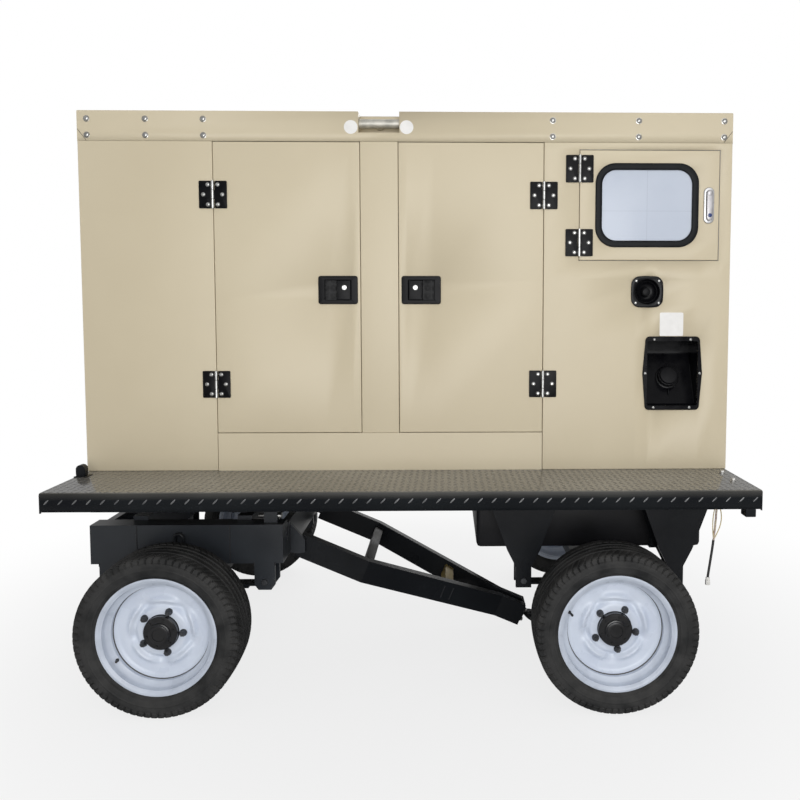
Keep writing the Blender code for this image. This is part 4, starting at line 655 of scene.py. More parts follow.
tyre_rubber = finish("tyre_rubber", (0.012, 0.0125, 0.013), (0.036, 0.036, 0.036), (0.55, 0.8), fine=900.0,
                     broad=16.0, relief=0.0001, specular=0.25, dust_and_reflection=0.04)
wheel_enamel = finish("wheel_enamel", (0.585, 0.64, 0.745), (0.66, 0.715, 0.81), (0.22, 0.36), fine=320.0, broad=7.0,
                      relief=0.00005)
# The barrel is the rim's white darkened by about a fifth: painted shade in the recessed drop.
barrel_painted_shade = finish("barrel_painted_shade", (0.46, 0.505, 0.59), (0.56, 0.61, 0.7), (0.24, 0.38), fine=320.0, broad=12.0,
                       relief=0.00005)
hub_enamel = finish("hub_enamel", (0.005, 0.005, 0.006), (0.011, 0.011, 0.012), (0.14, 0.26), fine=500.0, broad=20.0)
# A dark ring between dish and barrel is painted shade for the gap there.
gap_painted_shade = finish("gap_painted_shade", (0.05, 0.05, 0.05), (0.12, 0.12, 0.12), (0.6, 0.8), fine=600.0)
for wheel, wheel_x, side, first in (("front_near", FRONT_AXLE_X, -1, -3.0), ("front_far", FRONT_AXLE_X, 1, 20.0),
                                    ("rear_near", REAR_AXLE_X, -1, -10.0), ("rear_far", REAR_AXLE_X, 1, 40.0)):
    body = "wheel_" + wheel
    centre = (wheel_x, side * WHEEL_MIDDLE_Y, TYRE_RADIUS)
    out_y = facing(wheel_x, WHEEL_MIDDLE_Y, TYRE_RADIUS, side)
    piece("tyre_rubber_" + wheel, [wheel_surface(tyre_profile(), 432, centre, side, tread)], tyre_rubber, body,
          ("tyre_" + wheel,), crease=30.0)
    piece("rim_barrel_" + wheel, [wheel_surface(rim_profile(), 120, centre, side)], barrel_painted_shade, body,
          ("rim_" + wheel,), crease=40.0)
    piece("rim_dish_" + wheel, [wheel_surface(disc_profile(), 160, centre, side, lobes)], wheel_enamel, body,
          crease=60.0)
    piece("rim_gap_shade_" + wheel, [wheel_surface([(0.1812, 0.0325), (0.1812, 0.0345), (0.1772, 0.0318), (0.1772, 0.03)],
                                              120, centre, side)], gap_painted_shade, body)
    hub = lathe([(0.0, -0.06), (0.054, -0.06), (0.055, 0.006), (0.09, 0.011), (0.09, 0.0232), (0.063, 0.0235),
                 (0.063, 0.048), (0.06, 0.0505), (0.042, 0.052), (0.0405, 0.0535), (0.04, 0.06), (0.036, 0.0615),
                 (0.0345, 0.0655), (0.03, 0.0668), (0.024, 0.0668), (0.0225, 0.064), (0.0, 0.064)], out_y, 48)
    knurls = [hexagon(lambda u, v, w, c=c: out_y(u + 0.051 * math.cos(c), v + 0.051 * math.sin(c), w), 0.0085, 0.0505,
                      0.0545)
              for c in np.radians(np.arange(6) * 60 + 15)]
    piece("hub_casting_" + wheel, [hub] + knurls, hub_enamel, body, ("hub_" + wheel,))
    nuts = []
    for angle in np.radians(first + 72 * np.arange(5)):
        spot = lambda u, v, w, a=angle: out_y(u + 0.08 * math.cos(a), v + 0.08 * math.sin(a), w)
        nuts.append(lathe([(0.0, 0.029), (0.0135, 0.029), (0.0135, 0.0345), (0.0115, 0.037), (0.0, 0.037)], spot, 24))
        nuts.append(hexagon(spot, 0.019, 0.036, 0.048))
        nuts.append(lathe([(0.0, 0.047), (0.0062, 0.047), (0.0062, 0.052), (0.005, 0.0532), (0.0, 0.0532)], spot, 18))
    piece("wheel_nuts_" + wheel, nuts, dark_steel, body)
    valve = math.radians(212 if wheel.startswith("front") else 158)
    foot = np.array([centre[0] + 0.188 * math.cos(valve), centre[1] + side * 0.048,
                     centre[2] + 0.188 * math.sin(valve)])
    tip = np.array([centre[0] + 0.179 * math.cos(valve), centre[1] + side * 0.076,
                    centre[2] + 0.179 * math.sin(valve)])
    piece("valve_stem_" + wheel, [tube(foot + (tip - foot) * np.linspace(0, 1, 9)[:, None],
          [0.0075, 0.0065, 0.005, 0.0042, 0.004, 0.0038, 0.0048, 0.0048, 0.004], 14)], black_sleeve, body)


# ---- Deck
# Chequer plate folded down along its edges, with lentil bars rolled up out of the steel, sprayed gloss black. Its bars
# are a lighter grey, partly paint worn off them and partly painted glint, and the pale sandy layer on its top is
# painted reflection of the canopy. A lashing lug, a lamp bracket and the lead's gland are welded to it.
def deck_enamel_painted_reflection():
    """Black enamel with a deeper clear gloss on the top: the coat's weight is 1 where the normal's Z is over 0.7. The
    pale sandy layer on the up-facing faces is painted reflection of the canopy in the gloss.
    """
    material = finish("deck_enamel_painted_reflection", (0.005, 0.006, 0.008), (0.01, 0.012, 0.014), (0.13, 0.26), fine=120.0,
                      specular=0.15, dust_and_reflection=0.9, dust_and_reflection_colour=(0.34, 0.32, 0.28))
    tree = material.node_tree
    split = node(tree, "SeparateXYZ", (0, node(tree, "NewGeometry").outputs["Normal"]))
    flat = node(tree, "Math", (0, split.outputs["Z"]), (1, 0.7), operation="GREATER_THAN")
    tree.links.new(flat.outputs[0], tree.nodes["Principled BSDF"].inputs["Coat Weight"])
    tree.nodes["Principled BSDF"].inputs["Coat IOR"].default_value = 1.8
    return material


def folded_sheet(first, second, fold, depth, place, holes=(), ledge=None):
    """An open sheet whose four edges fold back, as a grid of two paths.

    Each path comes up its return, round a quarter circle of radius fold and across the face, so it has a position
    and a depth, and a point's depth is the sum of both. Quads inside a hole, (low, high) in both directions
    and then how deep it goes, are left out. A ledge adds a row of points to the returns at that depth.
    """
    def path(low, high, extra):
        bend = np.linspace(0, np.pi / 2, 5)
        flat = [v for v in sorted(extra) if low + fold + 1e-4 < v < high - fold - 1e-4]
        walls = [depth, ledge] if ledge else [depth]
        spot = [low] * len(walls) + list(low + fold * (1 - np.cos(bend))) + flat
        spot += list(high - fold * (1 - np.cos(bend[::-1]))) + [high] * len(walls)
        deep = walls + list(fold * (1 - np.sin(bend))) + [0.0] * len(flat)
        deep += list(fold * (1 - np.sin(bend[::-1]))) + walls[::-1]
        return np.array(spot), np.array(deep)

    u, u_deep = path(*first, [edge for hole in holes for edge in hole[0]])
    v, v_deep = path(*second, [edge for hole in holes for edge in hole[1]])
    grid_u, grid_v = np.meshgrid(u, v, indexing="ij")
    deep = u_deep[:, None] + v_deep[None, :]
    i, j = np.meshgrid(np.arange(len(u) - 1), np.arange(len(v) - 1), indexing="ij")
    quads = np.stack([i * len(v) + j, (i + 1) * len(v) + j, (i + 1) * len(v) + j + 1, i * len(v) + j + 1],
                     -1).reshape(-1, 4)
    at_u, at_v = grid_u.ravel()[quads].mean(1), grid_v.ravel()[quads].mean(1)
    at_deep = deep.ravel()[quads].mean(1)
    at_end = np.minimum(at_u - first[0], first[1] - at_u) < 1e-6
    at_side = np.minimum(at_v - second[0], second[1] - at_v) < 1e-6
    keep = ~(at_end & at_side)
    for hole in holes:
        inside = (at_u > hole[0][0]) & (at_u < hole[0][1]) & (at_v > hole[1][0]) & (at_v < hole[1][1])
        keep &= ~(inside & (at_deep < (hole[2] if len(hole) > 2 else 1.0)))
    return place(grid_u.ravel(), grid_v.ravel(), deep.ravel()), quads[keep].tolist()


def sheet_metal(name, part, material, body, stands_for, outward, thickness=0.002):
    """A folded sheet given its thickness, inwards."""
    item = piece(name, [part], material, body, stands_for, outward=outward, crease=28.0)
    solid = item.modifiers.new("thickness", "SOLIDIFY")
    solid.thickness = thickness
    solid.offset = -1.0
    solid.use_even_offset = True
    return item


deck_gloss_painted_reflection = deck_enamel_painted_reflection()
# The bars' lighter grey is partly worn paint and partly painted glint, for the light the raised bars catch.
bar_wear_and_glint = finish("bar_wear_and_glint", (0.09, 0.092, 0.096), (0.17, 0.172, 0.175), (0.18, 0.3), metallic=0.3, fine=600.0,
                     broad=25.0)


def on_level(height):
    """Places (x, y, depth) under a level face."""
    return lambda u, v, d: np.column_stack([u, v, height - d])


sheet_metal("deck_plate", folded_sheet((-END_X, END_X), (-DECK_HALF, DECK_HALF), 0.005, 0.0705, on_level(DECK_TOP)),
            deck_gloss_painted_reflection, "trailer", ("deck",), (0, 0, 1), 0.005)
lug = outline(0.036, 0.052, 0.0176, 10)


def lentil(across, around):
    """A rolled-up bar: an ellipse 26 by 6 mm whose height falls from 1.3 mm at its middle as 1 - a^2."""
    share, turn = np.meshgrid(across, np.linspace(0, 2 * np.pi, around, endpoint=False), indexing="ij")
    return skin(np.stack([0.013 * share * np.cos(turn), 0.003 * share * np.sin(turn), 0.0013 * (1 - share ** 2)], -1))


slant = math.sqrt(0.5)
bar_points, bar_faces = lentil(np.linspace(0.02, 1.0, 6), 20)
piece("edge_bars", [
    (np.column_stack([x + slant * (bar_points[:, 0] - bar_points[:, 1]), side * (0.8674 + bar_points[:, 2]),
                      0.8125 + slant * (bar_points[:, 0] + bar_points[:, 1])]), bar_faces)
    for side in (-1, 1) for x in np.arange(-1.275, 1.28, 0.05)], bar_wear_and_glint, "trailer")
bar_points, bar_faces = lentil((0.2, 0.6, 1.0), 8)
top_bars = []
for column, x in enumerate(np.arange(-1.2875, 1.29, 0.025)):
    for row, y in enumerate(np.arange(0.5075, 0.86, 0.025)):
        for side in (-1, 1):
            lean = slant * (1 if (column + row) % 2 else -1)
            top_bars.append((np.column_stack([x + slant * bar_points[:, 0] - lean * bar_points[:, 1],
                                              side * y + lean * bar_points[:, 0] + slant * bar_points[:, 1],
                                              0.8469 + bar_points[:, 2]]), bar_faces))
piece("top_bars", top_bars, bar_wear_and_glint, "trailer")
lug_rings = [np.column_stack([-1.278 + lug[:, 0] * s, np.full(len(lug), y), 0.867 + lug[:, 1] * s])
             for y, s in ((-0.6, 0.93), (-0.5985, 1.0), (-0.5715, 1.0), (-0.57, 0.93))]
piece("deck_fittings", [
    skin(lug_rings),
    box_block((-1.2999, -0.612, 0.8465), (-1.248, -0.558, 0.85), 0.002),
    box_block((1.24, -0.8674, 0.7466), (1.278, -0.8176, 0.84), 0.003),
    box_block((1.157, -0.8655, 0.7765), (1.193, -0.732, 0.7885), 0.003),
    lathe([(0.0, 0.779), (0.011, 0.779), (0.011, 0.7766), (0.0042, 0.7763), (0.0, 0.7763)], upward(1.175, -0.75), 24),
], black_enamel, "trailer")
deck_bolts = []
for x, y in ((1.255, -0.576), (1.246, -0.72), (1.255, 0.576), (1.246, 0.72), (-1.255, 0.576), (-1.246, 0.72)):
    spot = upward(x, y)
    deck_bolts.append(lathe([(0.0, 0.8468), (0.012, 0.8468), (0.012, 0.849), (0.0, 0.8491)], spot, 20))
    deck_bolts.append(hexagon(spot, 0.017, 0.849, 0.859))
piece("deck_bolts", deck_bolts, zinc, "trailer")


# ---- Canopy shell
# Two-millimetre sheet folded at its edges and powder coated sand, with the coat's fine orange peel.
# The roof cap laps over the panels and is held by dome bolts, in pairs at each of its frames.
sand_coat = finish("sand_coat", (0.6, 0.522, 0.372), (0.64, 0.562, 0.406), (0.34, 0.46), fine=520.0, broad=1.1,
                   relief=0.00012, specular=0.4)
coat_nodes(sand_coat, "base_skid", "left_end_wall", "right_end_wall")


def on_side(side):
    """Places (x, z, depth) on the canopy's near (-1) or far (+1) face."""
    return lambda u, v, d: np.column_stack([u, side * (FACE - d), v])


def latch_hole(free, hand):
    """The hole a latch's bezel fills, from the door's free edge."""
    latch = free + hand * 0.0895
    return (latch - 0.0535, latch + 0.0535), (LATCH_Z - 0.041, LATCH_Z + 0.041)


def open_end(sheet):
    """Drops the return at the canopy's own end, where the end wall stands."""
    points, faces = sheet
    return points, [face for face in faces if not (np.abs(points[face, 0]) > END_X - 0.00005).all()]


DOORS = {"near_left": (-1, -1), "near_right": (-1, 1), "far_left": (1, -1), "far_right": (1, 1)}
for side, word in ((-1, "near"), (1, "far")):
    place, outward = on_side(side), (0, side, 0)
    sheet_metal(word + "_left_skin", open_end(folded_sheet((-END_X, -0.773), (PANEL_LOW, PANEL_HIGH), 0.0025, 0.022,
                                                           place)), sand_coat, "trailer",
                (word + "_left_panel",), outward)
    holes = []
    if side == -1:
        holes = [((0.6855, 1.2525), (1.696, 2.1375)), ((0.9645 - 0.05, 0.9645 + 0.05),
                                                       (1.5715 - 0.05, 1.5715 + 0.05)),
                 ((0.969, 1.175), (1.11, 1.372))]
    sheet_metal(word + "_right_skin", open_end(folded_sheet((0.545, END_X), (PANEL_LOW, PANEL_HIGH), 0.0025, 0.022,
                                                            place, holes)), sand_coat,
                "trailer", (word + "_right_panel",), outward)
    sheet_metal(word + "_post_skin", folded_sheet((-0.189, -0.039), (1.0003, PANEL_HIGH), 0.0025, 0.022, place),
                sand_coat, "trailer", (word + "_post",), outward)
for door, (side, hand) in DOORS.items():
    free = POST_X + hand * 0.077
    edge = POST_X + hand * 0.657
    span = (min(free, edge), max(free, edge))
    sheet_metal(door + "_skin", folded_sheet(span, (1.002, 2.163), 0.003, 0.027, on_side(side),
                                             [latch_hole(free, hand)]),
                sand_coat, door + "_door", (door + "_door",), (0, side, 0))

recess = (-0.1955, -0.0325)
cap_holes = [(recess, (-0.5, -0.4105), 0.0831), (recess, (0.4105, 0.5), 0.0831)]
cap_points, cap_faces = folded_sheet((-END_X, END_X), (-FACE, FACE), 0.003, 0.118, on_level(ROOF_TOP), cap_holes,
                                     0.083)
cap_faces = [face for face in cap_faces if not (
    recess[0] < cap_points[face, 0].mean() < recess[1] and abs(cap_points[face, 1].mean()) > 0.4105
    and cap_points[face, 2].mean() > 2.2)]
sheet_metal("roof_cap", (cap_points, cap_faces), sand_coat, "trailer", ("roof",), (0, 0, 1))
pockets = []
for side in (-1, 1):
    pockets += [
        box_block((-0.1985, side * 0.4915, 2.197), (-0.0295, side * 0.4075, 2.2), 0.0008),
        box_block((-0.1985, side * 0.4105, 2.1972), (-0.0295, side * 0.4075, 2.282), 0.0008),
        box_block((-0.1985, side * 0.4917, 2.1972), (-0.1955, side * 0.4077, 2.2822), 0.0008),
        box_block((-0.0325, side * 0.4917, 2.1972), (-0.0295, side * 0.4077, 2.2822), 0.0008),
    ]
piece("lift_pockets", pockets, sand_coat, "trailer")
galvanised = finish("galvanised", (0.4, 0.39, 0.35), (0.62, 0.6, 0.54), (0.35, 0.5), metallic=0.5, fine=300.0,
                    broad=30.0)
bar_parts = [tube(track(-0.114, np.linspace(-0.452, 0.452, 12), 2.243), 0.0178, 32)]
for side in (-1, 1):
    bar_parts.append(tube(track(np.linspace(-0.1952, -0.0328, 8), side * 0.4525, 2.243), 0.018, 36))
piece("lift_tubes", bar_parts, galvanised, "trailer", ("lifting_bar",))

domes = []
for side in (-1, 1):
    for x in (-1.262, -1.033, -0.806, 0.578, 0.922, 1.265):
        for z in (2.25, 2.187):
            domes.append(lathe([(0.0, -0.0005), (0.0125, -0.0005), (0.0125, 0.0012), (0.0105, 0.0016), (0.01, 0.004),
                                (0.0078, 0.0062), (0.0042, 0.0072), (0.0038, 0.0055), (0.0, 0.0055)],
                               facing(x, FACE, z, side), 22))
for end in (-1, 1):
    for y in (-0.4, -0.135, 0.135, 0.4):
        spot = lambda u, v, w, y=y, end=end: np.column_stack([end * (END_X + w - 0.0072), y + u, 2.225 + v])
        domes.append(lathe([(0.0, 0.0064), (0.01, 0.0064), (0.01, 0.0075), (0.0085, 0.0081), (0.0, 0.0082)], spot,
                           22))
chrome = finish("chrome", (0.4, 0.4, 0.39), (0.54, 0.54, 0.53), (0.16, 0.26), metallic=1.0, fine=900.0, broad=40.0,
                relief=0.00002)
piece("roof_bolts", domes, chrome, "trailer")
white_label = finish("white_label", (0.8, 0.79, 0.77), (0.86, 0.85, 0.83), (0.45, 0.55), fine=900.0, broad=30.0,
                     relief=0.00002)
labels = []
for x, z, width, height, radius in ((-0.2245, 2.2215, 0.054, 0.054, 0.027), (-0.0035, 2.2215, 0.054, 0.054, 0.027),
                                    (1.066, 1.4405, 0.096, 0.095, 0.006)):
    labels.append(stack([(width, height, radius, -0.0002), (width, height, radius, 0.0004)], facing(x, FACE, z), 8))
piece("blank_labels", labels, white_label, "trailer")


# ---- Hinges
# Two-leaf surface hinges pressed from black coated steel, 108 mm square, on a pin through three knuckles. Three bright
# screws hold each leaf, the middle one further from the pin. The knuckle rolls are chrome as a painted highlight for
# the glint along their black steel.
def hinge_parts(axis_x, side, z, towards, spans):
    """One leaf, as its black plate parts, and its knuckle rolls, chrome as a painted highlight, with its screws."""
    face = facing(axis_x + towards * 0.0312, FACE, z, side)
    parts, glint_rolls_and_screws = [stack(rolled(0.048, 0.1084, 0.004, -0.0004, 0.0045, 0.0012), face, 4)], []
    for low, high in spans:
        height = np.array([low, low + 0.0008, high - 0.0008, high])
        reach = np.array([0.006, 0.0066, 0.0066, 0.006])
        path = track(axis_x, side * HINGE_PIN_Y, z + height)
        glint_rolls_and_screws.append(tube(path, reach, 20))
        parts.append(box_block((axis_x, side * 0.4938, z + low + 0.0004),
                               (axis_x + towards * 0.0095, side * 0.4974, z + high - 0.0004), 0.0008))
    for out, up in ((0.0195, 0.039), (0.0375, 0.0), (0.0195, -0.039)):
        spot = facing(axis_x + towards * out, FACE, z + up, side)
        glint_rolls_and_screws.append(lathe([(0.0, 0.004), (0.0085, 0.004), (0.0085, 0.0052), (0.007, 0.007), (0.0036, 0.008),
                             (0.0033, 0.0062), (0.0, 0.0062)], spot, 20))
    return parts, glint_rolls_and_screws


OUTER_ROLLS = ((-0.054, -0.0184), (0.0181, 0.054))
MIDDLE_ROLL = ((-0.0178, 0.0175),)
black_zinc = finish("black_zinc", (0.003, 0.003, 0.004), (0.006, 0.006, 0.007), (0.24, 0.36), fine=600.0, broad=20.0,
                    specular=0.1)
fixed_leaves, fixed_screws, pins = [], [], []


def hinge_pair(axis_x, side, fixed_way, heights):
    """Two hinges on one pin line: adds to the fixed lists and returns the door's own leaves and screws."""
    moving, moving_screws = [], []
    for z in heights:
        for towards, spans, leaves, screws in ((fixed_way, OUTER_ROLLS, fixed_leaves, fixed_screws),
                                               (-fixed_way, MIDDLE_ROLL, moving, moving_screws)):
            parts, glint_rolls_and_screws = hinge_parts(axis_x, side, z, towards, spans)
            leaves.extend(parts)
            screws.extend(glint_rolls_and_screws)
        for low, high in ((0.054, 0.0552), (-0.0552, -0.054)):
            pins.append(tube(track(axis_x, side * HINGE_PIN_Y, z + np.array([low, high])), 0.0045, 14))
    return moving, moving_screws


def hinge_pieces(word, body, leaves, screws):
    piece(word + "_hinge_leaves", leaves, black_zinc, body)
    piece(word + "_hinge_screws_and_glint_rolls", screws, chrome, body)


for door, (side, hand) in DOORS.items():
    hinge_pieces(door, door + "_door", *hinge_pair(POST_X + hand * 0.658, side, hand, (1.955, 1.199)))
control_leaves, control_screws = hinge_pair(0.687, -1, -1, (2.061, 1.768))
hinge_pieces("fixed", "trailer", fixed_leaves, fixed_screws)
piece("hinge_pins", pins, chrome, "trailer")
hinge_pieces("control", "control_door", control_leaves, control_screws)


# ---- Paddle latches
# A moulded black bezel with a finger dish, and a paddle that pulls out on the bezel's free side.
# A bright lock cylinder with a keyway sits in the paddle, and the bezel's edge is rolled.
moulded_black = finish("moulded_black", (0.004, 0.004, 0.005), (0.009, 0.009, 0.01), (0.28, 0.42), fine=850.0,
                       broad=18.0, relief=0.0001, specular=0.12)
for door, (side, hand) in DOORS.items():
    latch = POST_X + hand * 0.077 + hand * 0.0895
    steps = [(0.1095, 0.0845, 0.006, -0.0236), (0.1095, 0.0845, 0.006, -0.0008)]
    steps += rolled(0.158, 0.113, 0.01, -0.0004, 0.0042, 0.0022)
    steps += [(0.1085, 0.0835, 0.005, 0.0042), (0.105, 0.08, 0.004, 0.0028), (0.104, 0.079, 0.004, 0.001),
              (0.103, 0.078, 0.006, -0.019), (0.099, 0.074, 0.006, -0.0212)]
    piece(door + "_latch_bezel", [stack(steps, facing(latch, FACE, LATCH_Z, side), 5)], moulded_black, door + "_door")
    axis_x = latch - hand * 0.0465
    centre = axis_x + hand * 0.0255
    paddle = stack([(0.0515, 0.076, 0.004, -0.004)] + rolled(0.0515, 0.077, 0.004, -0.0034, 0.0018, 0.0014),
                   facing(centre, FACE, LATCH_Z, side), 5)
    rod_path = track(axis_x, side * 0.4895, LATCH_Z + np.array([-0.039, -0.0382, 0.0382, 0.039]))
    grip = box_block((axis_x + hand * 0.0455, side * 0.493, LATCH_Z - 0.03),
                     (axis_x + hand * 0.0505, side * 0.4955, LATCH_Z + 0.03), 0.001)
    piece(door + "_paddle_plate", [paddle, tube(rod_path, 0.0048, 18), grip], moulded_black, door + "_paddle",
          (door + "_paddle",))
    key_x = centre - hand * 0.003
    piece(door + "_lock_cylinder", [
        lathe([(0.0, 0.001), (0.0105, 0.001), (0.0105, 0.0026), (0.0095, 0.0032), (0.0072, 0.0032), (0.0068, 0.0026),
               (0.0, 0.0026)], facing(key_x, FACE, 1.588, side), 28),
        box_block((key_x - 0.0008, side * 0.4948, 1.5845), (key_x + 0.0008, side * 0.4955, 1.5915), 0.0003),
    ], chrome, door + "_paddle")


# ---- Roof cap seams
# At each end the cap's band is folded round the corner and its lap is cut on a slant. A dark line in each lap is
# painted shade for the slit the cut leaves.
slit_painted_shade = finish("slit_painted_shade", (0.02, 0.019, 0.017), (0.035, 0.033, 0.03), (0.5, 0.7), fine=800.0, broad=40.0)
laps = []
for side in (-1, 1):
    for end in (-1, 1):
        path = track(end * np.linspace(1.265, 1.2985, 6), side * 0.4926, np.linspace(2.1665, 2.21, 6))
        laps.append(tube(path, 0.0009, 8))
piece("roof_lap_seams", laps, slit_painted_shade, "trailer")


# ---- Control door
# A folded sheet door with a window in a rubber seal. The pane still wears its pale protective
# film, creased where it was folded. A cast swing handle with a blue key lock sits on its free side.
def creased_film():
    """Pale film with two creases: a darker line where |x - x0| or |z - z0| is under a millimetre."""
    material = finish("protective_film", (0.49, 0.54, 0.635), (0.52, 0.57, 0.66), (0.1, 0.22), fine=45.0, broad=5.0,
                      relief=0.0003, specular=0.4)
    tree = material.node_tree
    split = node(tree, "SeparateXYZ", (0, node(tree, "TexCoord").outputs["Object"]))
    away = []
    for index, (axis, middle) in enumerate((("X", 0.96), ("Z", 1.895))):
        offset = node(tree, "Math", (0, split.outputs[axis]), (1, middle), operation="SUBTRACT")
        away.append((index, node(tree, "Math", (0, offset.outputs[0]), operation="ABSOLUTE").outputs[0]))
    nearest = node(tree, "Math", *away, operation="MINIMUM")
    line = node(tree, "MapRange", ("From Min", 0.0004), ("From Max", 0.0016), ("To Min", 0.45), ("To Max", 0.0),
                ("Value", nearest.outputs[0]))
    colour = tree.nodes["Principled BSDF"].inputs["Base Color"]
    shade = node(tree, "Mix", ("B", (0.33, 0.37, 0.45, 1.0)), ("Factor", line.outputs["Result"]),
                 ("A", colour.links[0].from_socket), data_type="RGBA")
    tree.links.new(shade.outputs["Result"], colour)
    return material


sheet_metal("control_door_skin", folded_sheet((0.688, 1.25), (1.6985, 2.135), 0.003, 0.012, on_side(-1),
            [((0.776, 1.142), (1.775, 2.059))]), sand_coat, "control_door", ("control_door",),
            (0, -1, 0))
window_place = facing(0.959, FACE, 1.917)
seal_rubber = finish("seal_rubber", (0.005, 0.006, 0.007), (0.01, 0.011, 0.013), (0.3, 0.44), fine=900.0, broad=14.0,
                     specular=0.12)
piece("window_seal", [stack([
    (0.416, 0.334, 0.08, 0.0002), (0.416, 0.334, 0.08, 0.0024), (0.412, 0.33, 0.078, 0.0042),
    (0.404, 0.322, 0.074, 0.005),
    (0.382, 0.3, 0.0665, 0.005), (0.369, 0.287, 0.061, 0.0042), (0.3625, 0.2805, 0.058, 0.0022),
    (0.3625, 0.2805, 0.058, -0.008), (0.365, 0.283, 0.059, -0.008), (0.365, 0.283, 0.059, 0.0002),
], window_place, 12, "joined")], seal_rubber, "control_door")
piece("window_pane", [stack([(0.363, 0.281, 0.058, -0.006), (0.363, 0.281, 0.058, -0.0025)], window_place, 12)],
      creased_film(), "control_door", ("control_window",))
handle_place = facing(1.208, FACE, 1.917)
satin_alloy = finish("satin_alloy", (0.46, 0.46, 0.47), (0.58, 0.58, 0.59), (0.24, 0.36), metallic=0.85, fine=700.0,
                     broad=40.0)
piece("handle_escutcheon", [stack(rolled(0.042, 0.144, 0.0205, -0.0004, 0.006, 0.0032), handle_place, 10)],
      satin_alloy, "control_door")
pivot_place = facing(1.208, FACE, 1.965)
grey_alloy = finish("grey_alloy", (0.36, 0.35, 0.36), (0.46, 0.45, 0.46), (0.3, 0.42), metallic=0.8, fine=700.0,
                    broad=40.0)
piece("handle_lever", [
    stack(rolled(0.0255, 0.1215, 0.0122, 0.0062, 0.0176, 0.003), handle_place, 10),
    lathe([(0.0, 0.0174), (0.0106, 0.0174), (0.0106, 0.0182), (0.0094, 0.0188), (0.0, 0.019)], pivot_place, 28),
], grey_alloy, "control_handle", ("control_door_handle",))
key_place = facing(1.208, FACE, 1.8765)
blue_plastic = finish("blue_plastic", (0.01, 0.03, 0.15), (0.016, 0.044, 0.2), (0.28, 0.4), fine=600.0, broad=60.0)
piece("handle_key_lock", [
    lathe([(0.0, 0.0174), (0.0078, 0.0174), (0.0078, 0.0188), (0.0066, 0.0196), (0.0, 0.0196)], key_place, 28),
    stack([(0.0016, 0.007, 0.0006, 0.0194), (0.0016, 0.007, 0.0006, 0.02)], key_place, 3),
], blue_plastic, "control_handle")


# ---- Emergency stop
# A moulded black bezel whose sides bow outwards, with a bowl that guards the button from knocks.
# Four bright dome screws hold it to the panel.
def bowed(steps, place, corner=9):
    """A closed solid from (width, height, corner radius, distance, bow) steps.

    Each side draws in towards its ends: u (1 - bow (2v / h)^2) and v (1 - bow (2u / w)^2).
    """
    rings = []
    for w, h, r, d, bow in steps:
        ring = outline(w, h, r, corner, 6)
        u = ring[:, 0] * (1 - bow * (2 * ring[:, 1] / h) ** 2)
        v = ring[:, 1] * (1 - bow * (2 * ring[:, 0] / w) ** 2)
        rings.append(np.column_stack([u, v, np.full(len(ring), d)]))
    return placed(rings, place)


def dome_screws(name, spots):
    """Bright pan-head screws with a drive recess, at (x, z, height) spots on the near face of the canopy."""
    screws = []
    for x, z, stand in spots:
        screws.append(lathe([(0.0, -0.0004), (0.0062, -0.0004), (0.0062, 0.0008), (0.0053, 0.0026), (0.0031, 0.0036),
                             (0.0026, 0.0022), (0.0, 0.0022)], facing(x, FACE + stand, z), 20))
    piece(name, screws, chrome, "trailer")


gloss_black = finish("gloss_black_moulding", (0.003, 0.003, 0.004), (0.006, 0.006, 0.007), (0.14, 0.24), fine=500.0,
                     broad=20.0, relief=0.00004, specular=0.15)
bezel_place = facing(0.9645, FACE, 1.5715)
bowl = lambda r, d: (2 * r, 2 * r, r, d, 0.0)
piece("stop_bezel", [bowed([
    bowl(0.015, -0.0325), bowl(0.037, -0.0275), bowl(0.047, -0.014), bowl(0.0495, 0.0002),
    (0.131, 0.127, 0.028, 0.0002, 0.065), (0.131, 0.127, 0.028, 0.003, 0.065), (0.1285, 0.1245, 0.027, 0.0046, 0.065),
    (0.124, 0.12, 0.025, 0.0052, 0.065), bowl(0.0525, 0.0052), bowl(0.0508, 0.0044), bowl(0.0498, 0.0024),
    bowl(0.0475, -0.006),
    bowl(0.044, -0.012), bowl(0.0425, -0.0126), bowl(0.04, -0.018), bowl(0.035, -0.024), bowl(0.027, -0.028),
    bowl(0.013, -0.0298)], bezel_place)], gloss_black, "trailer")
piece("stop_button_head", [lathe([
    (0.0, -0.042), (0.0076, -0.042), (0.0078, -0.023), (0.017, -0.0228), (0.0178, -0.0205), (0.0176, -0.016),
    (0.015, -0.011),
    (0.0105, -0.0092), (0.0, -0.009)], bezel_place, 36)], moulded_black, "stop_button",
      ("emergency_stop_button",))
dome_screws("stop_screws", ((0.919, 1.6155, 0.005), (1.011, 1.6155, 0.005), (0.917, 1.527, 0.005),
                            (1.011, 1.527, 0.005)))


# ---- Fuel filler
# A moulded black box behind a six-sided flange. Its floor slants inwards so that a can tips easily,
# and a screw cap on a short neck stands square to that floor. Six bright screws hold the flange.
def extruded(section, low, high):
    """A closed (depth, height) section on the near face, carried along X from low to high."""
    section = np.asarray(section, float)
    rings = [np.column_stack([np.full(len(section), x), section[:, 0] - FACE, section[:, 1]]) for x in (low, high)]
    return skin(rings)


def side_flare(u, v, height, flare):
    """Widens a flange towards its middle: u (1 + flare (1 - |2v / h|))."""
    return u * (1 + flare * (1 - np.abs(2 * v / height)))


